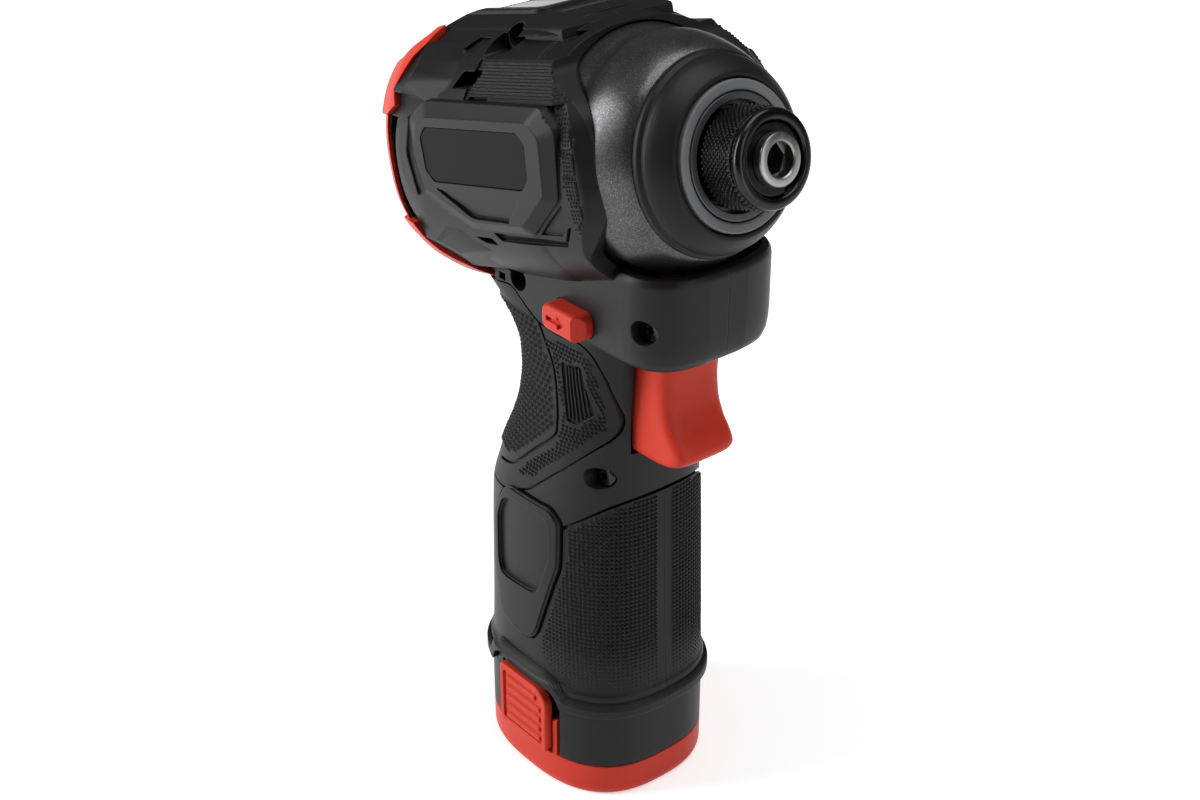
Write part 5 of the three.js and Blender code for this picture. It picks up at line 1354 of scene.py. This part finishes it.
print("studs placed on grips and head")


# %% [markdown]
# ## Badge, plates, screws and bumper
# The shield on the handle is a thin cap with a raised rim and a sunk field, which stays bare. The
# label and the top plate stay bare too. The bumper is a red cap over the barrel's rear edge: a pad
# above and one below at each side, a slim lip between them, and a round window in the middle.

# %% Badge and plates
badge = keep(region("badge", badge_shape, -0.15, 1.2, side=-1),
             handle("badge_top", -badge_proud, 20, 150, 160))
badge_crown = keep(region("badge_crown", badge_shape, -0.7, 1.2, side=-1),
                   handle("crown_top", -badge_proud - 0.45, 20, 150, 160))
join(badge, badge_crown)
cut(badge, handle("badge_under", badge_depth, 20, 150))
for grow, depth in ((0.5, -0.35), (0.0, 0.15)):
    field_cut = region("field_cut", badge_inner, grow, 1.0, side=-1)
    cut(badge, cut(field_cut, handle("field_floor", depth, 20, 150, 160)))

label_plate = prism("label", rounded(offset(label_outline, -0.15), 0.7, 4), "side",
                    -panel_side + 0.15, -panel_side + 0.75, 0.12, 2)
moved(label_plate, head)
cap_plate = prism("cap", rounded([(-87, -8), (-63, -8), (-63, 8), (-87, 8)], 2.0), "plan",
                  31.1, 31.7, 0.12, 2)
moved(cap_plate, head)


def socket_screw(name, x, z, seat):
    """A flanged screw with a six-lobed recess, its head at the bottom of the hole."""
    top = prism(name, circle(x, z, 2.7), "side", -seat - 2.1, -seat, 0.35, 2)
    lobes = [(x + (1.02 + 0.22 * math.cos(6 * a)) * math.cos(a), z + (1.02 + 0.22 * math.cos(6 * a))
              * math.sin(a)) for a in np.arange(48) * math.tau / 48]
    cut(top, prism("lobes", lobes, "side", -seat - 3, -seat - 0.9))
    return join(top, prism("shank", circle(x, z, 1.3, 24), "side", -seat - 0.4, 10.5))


screws = {key: socket_screw(f"screw_{key}", *place) for key, place in screw_places.items()}
print("plates and", len(screws), "screws are made")

# %% Bumper
lip_back = -101.2
upper_pad = [(-112, 12.4), (-99.8, 12.4), (-94.6, 15.0), (-96.6, 18.4), (-92.6, 25.0), (-89.6, 27.4),
             (-87.0, 36), (-112, 36)]
lower_pad = [(-112, -12.6), (-96.0, -12.8), (-94.0, -16.8), (-90.6, -20.0), (-85.4, -23.4),
             (-80.0, -30), (-79, -36), (-112, -36)]


def bumper_pads(grow):
    return [prism("pad", offset(outline, grow), "side", -36, 36) for outline in (upper_pad, lower_pad)]


def plateau_way(half, back):
    return prism("plateau_way", [(-half, 20), (half, 20), (half, 40), (-half, 40)], "front", back, -70)


seat = join(cube("bumper_seat", (-112, lip_back + 0.3), (-36, 36), (-36, 36)), *bumper_pads(0.3))
cut(seat, barrel("seat_core", -0.6), plateau_way(15.7, -99.3))
moved(seat, head)
seat_left = copy_of(seat, "seat_left")
for half, room in ((housing_right, seat), (housing_left, seat_left)):
    cut(half, room)
bumper = keep(cube("bumper", (-112, lip_back), (-36, 36), (-36, 36)), barrel("lip_skin", 0.8))
join(bumper, *[keep(pad, barrel("bumper_skin", 1.45)) for pad in bumper_pads(0)])
cut(bumper, plateau_way(16.0, -99.5))
cut(bumper, prism("top_chamfer", [(-112, 40), (-86, 40), (-92.5, 29.2), (-112, 18.8)], "side", -36, 36),
    prism("low_chamfer", [(-112, -40), (-90, -40), (-99.0, -29.6), (-112, -19.0)], "side", -36, 36))
cut(bumper, barrel("bumper_core", -0.3), turned("window", [(99.5, 0), (99.5, 19), (115, 19), (115, 0)]))
moved(bumper, head)
print("bumper faces:", len(bumper.data.polygons))

# %% Crescent slots and the bar at the rear
crescent = []
for side in (-1, 1):
    outer = [(-101.6 + 0.012 * z * z, z) for z in np.linspace(-12.4, 12.2, 17)]
    inner = [(-97.8 + 0.018 * z * z, z) for z in np.linspace(12.2, -12.4, 17)]
    shape = prism("crescent", rounded(np.concatenate([outer, inner]).tolist(), 0.2, 2), "side",
                  *sorted((side * 17.0, side * 36.0)))
    crescent.append(moved(shape, head))
cut(housing_right, crescent[0])
cut(housing_left, crescent[1])
print("crescent slots cut in both halves")

# %% [markdown]
# ## Hammer case, nose boot and lamp
# All of these are turned about the head axis, as the real ones are cast or moulded round. The
# case swells in a soft shoulder with one shallow ring, and the rubber boot has a bevelled lip.

# %% Case, boot and rings
case_line = flowing([(21.3, 22.3), (22.6, 23.3), (25.4, 24.6), (28.6, 25.7), (31.4, 26.3), (33.4, 26.35),
                     (35.2, 26.1), (36.8, 26.25), (39.0, 27.0), (42.2, 27.75), (45.0, 28.0),
                     (47.7, 27.95)], 6, False)
case_profile = [(15.0, 10.6), (15.0, 13.2), (18.5, 13.2), (18.5, 16.4), (21.3, 19.1), (21.0, 21.9),
                *case_line.tolist(), (47.7, 24.2), (55.8, 24.2), (55.8, 22.0), (33.0, 22.0),
                (27.6, 19.9), (27.6, 9.6), (18.2, 9.6), (18.2, 10.6)]
hammer_case = moved(turned("case", case_profile), head)
boot_line = flowing([(13.0, 17.1), (13.15, 17.6), (14.5, 19.0), (16.2, 20.3), (17.5, 20.95),
                     (18.2, 21.15), (18.7, 21.1), (19.0, 21.3), (19.5, 21.85), (20.2, 22.0),
                     (20.8, 21.9)], 5, False)
boot_profile = [(13.3, 16.35), (13.0, 16.7), *boot_line.tolist(), (20.8, 19.6), (18.2, 16.7),
                (18.2, 16.35)]
nose_boot = moved(turned("boot", boot_profile), head)
lamp = moved(turned("lamp", [(12.5, 13.75), (12.35, 14.2), (12.35, 15.6), (12.5, 16.0), (16, 16.0),
                             (16, 13.75)], 0.15), head)
retainer = turned("retainer", [(12.4, 11.75), (12.4, 13.45), (14.7, 13.45), (14.7, 11.75)], 0.25)
gap_angle = math.radians(-50)
gap_half = math.radians(14)
gap = [(0, 0)] + [(20 * math.cos(gap_angle + t * gap_half), 20 * math.sin(gap_angle + t * gap_half))
                  for t in np.linspace(-1, 1, 9)]
cut(retainer, prism("gap", gap, "front", -17, -10))
moved(retainer, head)
print("case faces:", len(hammer_case.data.polygons))

# %% [markdown]
# ## Anvil, sleeve and knurl
# The anvil's hex socket takes the bit, and the sleeve is pulled forward to free it. Its knurl is a
# diamond pattern rolled into the steel, so the studs stand in staggered rings, turned by 45
# degrees, each on its own normal.

# %% Anvil, sleeve and clip
anvil = turned("anvil", [
    (0.02, 0), (0.02, 5.1), (0.2, 5.5), (0.6, 5.72), (2.25, 5.72), (2.25, 4.9), (3.55, 4.9),
    (3.55, 5.75), (17.8, 5.75), (17.8, 7), (27.9, 7), (27.9, 9.5), (33, 9.5), (33, 3.3),
        (21.3, 3.3), (21.3, 0)], sides=96)
ears = []
for middle in (0, 180):
    arc = [math.radians(middle + t) for t in np.linspace(-17, 17, 9)]
    ears.append(prism("ear", [(0, 0)] + [(19.5 * math.cos(a), 19.5 * math.sin(a)) for a in arc],
                      "front", -33, -27.9))
pilot_way = turned("pilot_way", [(20, 0), (20, 3.3), (36, 3.3), (36, 0)], sides=96)
join(anvil, *ears)
hexagon = [(3.666 * math.cos(a), 3.666 * math.sin(a)) for a in np.arange(6) * math.tau / 6]
ball_way = prism("ball_way", [(x - 13, y) for x, y in circle(0, 0, 1.9, 24)], "plan", -9, 9)
mouth = turned("mouth", [(-3, 0), (-3, 3.95), (0.05, 3.95), (0.35, 3.66), (3.0, 3.66), (3.0, 0)], sides=96)
cut(anvil, pilot_way, prism("socket", hexagon, "front", -17, 3), ball_way, mouth)
moved(anvil, head)

sleeve_profile = [
    (1.9, 8.0, 0.15), (1.5, 8.5, 0.2), (1.5, 9.7, 0.6), (2.1, 10.5, 0.5), (3.2, 10.5, 0.3), (3.5, 10.0, 0.1),
    (4.0, 10.0, 0.1), (4.2, 10.5, 0.1), (12.5, 10.55, 0.1), (12.9, 9.9, 0.2), (13.5, 9.6, 0.2),
    (17.4, 9.6, 0.3), (17.4, 8.0, 0.1), (14.3, 8.0, 0.1), (14.3, 6.05, 0.2), (11.5, 6.05, 0.2),
    (11.5, 8.0, 0.1)]
sleeve = turned("sleeve", sleeve_profile, 0.2)
knurl_round, knurl_rings, knurl_radius = 52, 13, 10.45
places, outs, alongs = [], [], []
for ring in range(knurl_rings):
    for number in range(knurl_round):
        angle = (number + ring % 2 / 2) * math.tau / knurl_round
        out = (0, math.cos(angle), math.sin(angle))
        back = 4.55 + ring * (12.1 - 4.55) / (knurl_rings - 1)
        places.append((-back, knurl_radius * out[1], knurl_radius * out[2]))
        outs.append(out)
        alongs.append((1, -out[2], out[1]))
knurl = stud_piece("knurl", places, outs, alongs, [1.0] * len(places), pyramid, black_oxide,
                   0.88, 0.88, 0.56)
merge(sleeve, knurl)
moved(sleeve, head)
clip = turned("clip", [(2.4, 5.2), (2.4, 7.6), (3.4, 7.6), (3.4, 5.2)], 0.2, sides=96)
clip_gap = [math.radians(300 + t) for t in np.linspace(-14, 14, 9)]
cut(clip, prism("clip_gap", [(0, 0)] + [(16 * math.cos(a), 16 * math.sin(a)) for a in clip_gap],
                "front", -6, 0))
moved(clip, head)
print("the knurl has", len(places), "studs")

# %% [markdown]
# ## Trigger and selector
# The finger face of the trigger is hollowed from top to bottom and rounded from side to side. The
# selector carries a sunk arrow for the direction it sets, which is a plain sign and no lettering.

# %% Trigger and selector
trigger_shares = [(0, 0.862), (0.02, 0.93), (0.06, 0.98), (0.12, 1.0), (0.2, 0.975), (0.32, 0.915),
                  (0.5, 0.868), (0.7, 0.856), (0.87, 0.866), (1, 0.885)]
trigger_square = 4.2
rings = []
for up, reach in smooth_rows(trigger_shares, 0.03):
    front = reach * 41.0
    half = 9.0 - 0.5 * max(0.0, (0.06 - up) / 0.06) ** 2
    bow = [(front - 0.15 - 5.4 * (1 - math.cos(a) ** (2 / trigger_square)),
            half * math.copysign(abs(math.sin(a)) ** (2 / trigger_square), a))
           for a in np.linspace(-math.pi / 2, math.pi / 2, 61)]
    rings.append(in_view([(24.0, -half), *bow, (24.0, half)], "plan", 100 + up * 27.6))
trigger = loft("trigger", rings)
stem = prism("stem", circle(0, 113, 2.5, 32), "front", 4, 27)
join(trigger, stem)

selector = prism("selector", rounded([(9.6, 130.9), (22.4, 130.9), (22.4, 137.3), (9.6, 137.3)], 2.4, 6),
                 "side", -24.0, 19.4, 1.1, 5)
front_bevel = [(18.6, -26.5), (24.0, -26.5), (24.0, -19.6), (22.6, -21.0), (20.2, -24.1)]
cut(selector, prism("front_bevel", front_bevel, "plan", 120, 145))
arrow = [(11.6, 133.5), (15.5, 133.5), (15.5, 132.4), (18.0, 134.1), (15.5, 135.8), (15.5, 134.7),
         (11.6, 134.7)]
cut(selector, prism("arrow", arrow, "side", -26, -23.1))
print("trigger faces:", len(trigger.data.polygons))

# %% [markdown]
# ## The battery pack
# The pack is a red tray and a black case with a stick that rises into the handle. Release buttons
# on both sides have a sunk field with five rounded bars for the thumb.

# %% Battery
pack_reach, pack_side, pack_square = 27.2, 23.4, 2.6


def pack_oval(name, rows):
    return loft(name, [oval_ring(pack_reach - inset, pack_reach - inset, pack_side - inset, height,
                                 pack_square, 144) for inset, height in rows])


def cell_room(name, low, high):
    outline = []
    for quarter in range(4):
        centre = (1 if quarter in (0, 3) else -1, 1 if quarter < 2 else -1)
        for step in range(9):
            angle = (quarter + step / 8) * math.tau / 4
            outline.append((centre[0] * 9.15 + 9.3 * math.cos(angle),
                            centre[1] * 9.15 + 9.3 * math.sin(angle)))
    return prism(name, outline, "plan", low, high)


button_outline = [(-9.8, 9.6, 1.4), (9.1, 9.6, 1.4), (9.1, 25.2, 2.0), (6.0, 27.8, 2.0), (-9.8, 27.8, 1.4)]
button_room = [(-10.3, 9.3), (12.4, 9.3), (12.4, 28.2), (-10.3, 28.2)]
button_face, button_depth, button_travel = 24.3, 2.6, 1.5


def button_pockets():
    floor = button_face - button_depth - button_travel - 0.3
    outline = rounded(button_room, 0.6, 3)
    return [prism("pocket_right", outline, "side", -31, -floor),
            prism("pocket_left", outline, "side", floor, 31)]


edge_rows = [(1.6 - 1.6 * math.sin(a), 2.9 - 2.9 * math.cos(a)) for a in np.linspace(0, math.pi / 2, 9)]
tray = pack_oval("tray", [*edge_rows, (0, 8.95), (0.15, 9.1)])
cut(tray, cell_room("tray_room", 3, 14))
upright = keep(pack_oval("upright", [(0.3, 8.0), (0.3, 19.4), (0.8, 19.8)]),
               prism("upright_room", [(9.7, 6), (11.1, 6), (11.1, 21), (9.7, 21)], "side", -31, -18.6))
join(tray, upright, mirrored(upright, "upright_left"))
band = pack_oval("band", [(0.3, 9.35), (0, 9.6), (0, 25.2)])
arch_tab = keep(pack_oval("tab", [(0.05, 22.2), (0.05, 31)]), prism(
    "tab_arch", offset(rounded(arch_outline, 2.4, 5), -0.3), "side", -31, 31))
stick = cut(pocket("stick", 0.3, *pack_room), cube("stick_top", (-30, 30), (-30, 30), (78, 85)))
join(band, arch_tab, stick)
slots = []
for number in range(4):
    y = (number - 1.5) * 6
    slots.append(cube("slot", (-4.3, 4.3), (y - 0.7, y + 0.7), (73.2, 81)))
cut(band, cell_room("case_room", 8, 76.2), *slots, *button_pockets())


def release_button(name, side):
    """A button with a raised rim and five rounded bars across its sunk field."""
    def slab(title, outline, low, high, soften=0.0):
        return prism(title, outline, "side", *sorted((side * low, side * high)), soften, 3)

    shape = rounded(button_outline, 1.4, 5)
    piece = slab(name, shape, button_face - button_depth, button_face, 0.45)
    cut(piece, slab("field", rounded(offset(button_outline, -1.5), 1.2, 5), button_face - 0.6, 27))
    bars = []
    for number in range(5):
        z = 12.3 + number * 2.95
        front = 6.6 if number < 4 else 4.8
        for wide, proud in ((0.72, -0.16), (0.45, 0.0)):
            bar = rounded([(-7.0, z - wide), (front, z - wide), (front, z + wide), (-7.0, z + wide)], 0.45, 4)
            bars.append(slab("bar", bar, button_face - 1.2, button_face + proud))
    return join(piece, *bars)


button_right = release_button("button_right", -1)
button_left = release_button("button_left", 1)
print("battery faces:", len(tray.data.polygons), len(band.data.polygons))

# %% [markdown]
# ## Dress and hang every piece
# Each visible piece is finished, rides its body and stands for its CAD node. The CAD nodes inside
# keep their own shape and get their finish in their own slots.

# %% Finish the outside
finish(housing_right, "shell_right", "housing", "shell", "housing_right")
finish(housing_left, "shell_left", "housing", "shell", "housing_left")
for (place, label), piece in grips.items():
    finish(piece, f"soft_{place}_{label}", "housing", "soft", f"grip_{place}_{label}")
finish(badge, "shield_badge", "housing", "plate", "hand_badge", material=shell_black)
finish(label_plate, "side_label", "housing", "plate", "rating_plate")
finish(cap_plate, "cap_plate", "housing", "bare", "top_plate")
finish(bumper, "bumper", "housing", "red", "rear_bumper")
for key, piece in screws.items():
    finish(piece, f"screw_{key}", "housing", "black_oxide", f"housing_screw_{key}")
finish(hammer_case, "case", "housing", "case_paint", "hammer_case")
finish(nose_boot, "boot", "housing", "boot", "nose_boot")
finish(lamp, "lamp_ring", "housing", "lamp", "light_ring")
finish(retainer, "lamp_spring_ring", "housing", "nickel", "lamp_retainer")
finish(anvil, "anvil_shaft", "anvil", "steel", "anvil")
finish(sleeve, "sleeve", "sleeve", "black_oxide", "chuck_sleeve")
finish(clip, "clip", "anvil", "steel", "sleeve_clip", material=black_oxide)
finish(trigger, "trigger_lever", "trigger", "red", "trigger")
finish(selector, "selector", "selector", "red", "direction_selector")
finish(tray, "pack_tray", "battery", "red", "battery_tray")
finish(band, "pack_case", "battery", "shell", "battery_case")
finish(button_right, "button_right", "release_right", "red", "release_button_right")
finish(button_left, "button_left", "release_left", "red", "release_button_left")
print("in all", sum(count for name, count in finished), "triangles in", len(finished), "pieces")

# %% Finish the inside
dressed = 0
for entry in frame["record"]["materials"]:
    for node in entry.get("nodes", []):
        cad = frame["nodes"][node]
        if not cad.material_slots:
            cad.data.materials.append(None)
        cad.material_slots[0].material = slot_finish[entry["slot"]]
        dressed += 1
print("CAD nodes dressed:", dressed)

# %% Clear the helpers
for helper in (pyramid, ridge, peg):
    bpy.data.objects.remove(helper)

# %% [markdown]
# ## Floor and light
# The tool stands on a pale floor in soft studio light. The floor is pale in itself and a little
# lighter for the camera, so that the picture's white ground stays while the shadow is kept. That
# glow is painted light that grows with distance: weaker near the tool, a painted shade round it,
# and white further out, where it paints over the lamps' falloff.

# %% Floor and world
floor_mesh = bpy.data.meshes.new("floor")
floor_mesh.from_pydata([(-4, -4, 0), (4, -4, 0), (4, 4, 0), (-4, 4, 0)], [], [(0, 1, 2, 3)])
floor = bpy.data.objects.new("floor", floor_mesh)
scene.collection.objects.link(floor)
ground = Finish("floor_white")
path = ground.node("ShaderNodeLightPath")
seen = (path.number("Is Camera Ray") + path.number("Is Glossy Ray") + path.number(
    "Is Transmission Ray")).capped()
cloth = ground.node("ShaderNodeBsdfDiffuse", None, {"Color": (0.82, 0.82, 0.82, 1)})
east, north, up = ground.axes(ground.place)
# painted light: the floor's glow for the camera is weaker near the tool and white further out
away = ground.spread((east * east + north * north).math("SQRT"), 0.1, 0.55)
painted_floor_glow = ground.blend(away, (0.55, 0.55, 0.55, 1), (1, 1, 1, 1))
glow = ground.node("ShaderNodeEmission", None, {"Color": painted_floor_glow, "Strength": 1.0})
both = ground.node("ShaderNodeAddShader", None, {0: cloth.socket(), 1: glow.socket()})
chosen = ground.node("ShaderNodeMixShader", None, {0: seen, 1: cloth.socket(), 2: both.socket()})
ground.node("ShaderNodeOutputMaterial", None, {"Surface": chosen.socket()})
floor.data.materials.append(ground.material)

world = bpy.data.worlds.new("studio")
scene.world = world
world.use_nodes = True
world.node_tree.nodes.clear()
sky = Finish.__new__(Finish)
sky.tree = world.node_tree
path = sky.node("ShaderNodeLightPath")
seen = (path.number("Is Camera Ray") + path.number("Is Transmission Ray")).capped()
shade = sky.blend(seen, (0.075, 0.075, 0.08, 1), (1, 1, 1, 1))
back = sky.node("ShaderNodeBackground", None, {"Color": shade, "Strength": 1.0})
sky.node("ShaderNodeOutputWorld", None, {"Surface": back.socket()})
print("floor and world are white to the camera")


# %% Lights
def softbox(name, place, target, size, power):
    """An area light in metres, aimed at a point."""
    data = bpy.data.lights.new(name, "AREA")
    data.shape = "RECTANGLE"
    data.size, data.size_y = size
    data.energy = power
    lamp_object = bpy.data.objects.new(name, data)
    lamp_object.location = place
    aim = Vector(target) - Vector(place)
    lamp_object.rotation_euler = aim.to_track_quat("-Z", "Y").to_euler()
    scene.collection.objects.link(lamp_object)
    return lamp_object


middle = (0, 0, 0.12)
softbox("left_box", (-0.42, -0.62, 0.42), middle, (0.26, 0.75), 6.5)
softbox("top_box", (0.12, 0.1, 0.85), middle, (0.6, 0.6), 3.6)
softbox("right_box", (0.75, 0.12, 0.30), middle, (0.3, 0.7), 1.4)
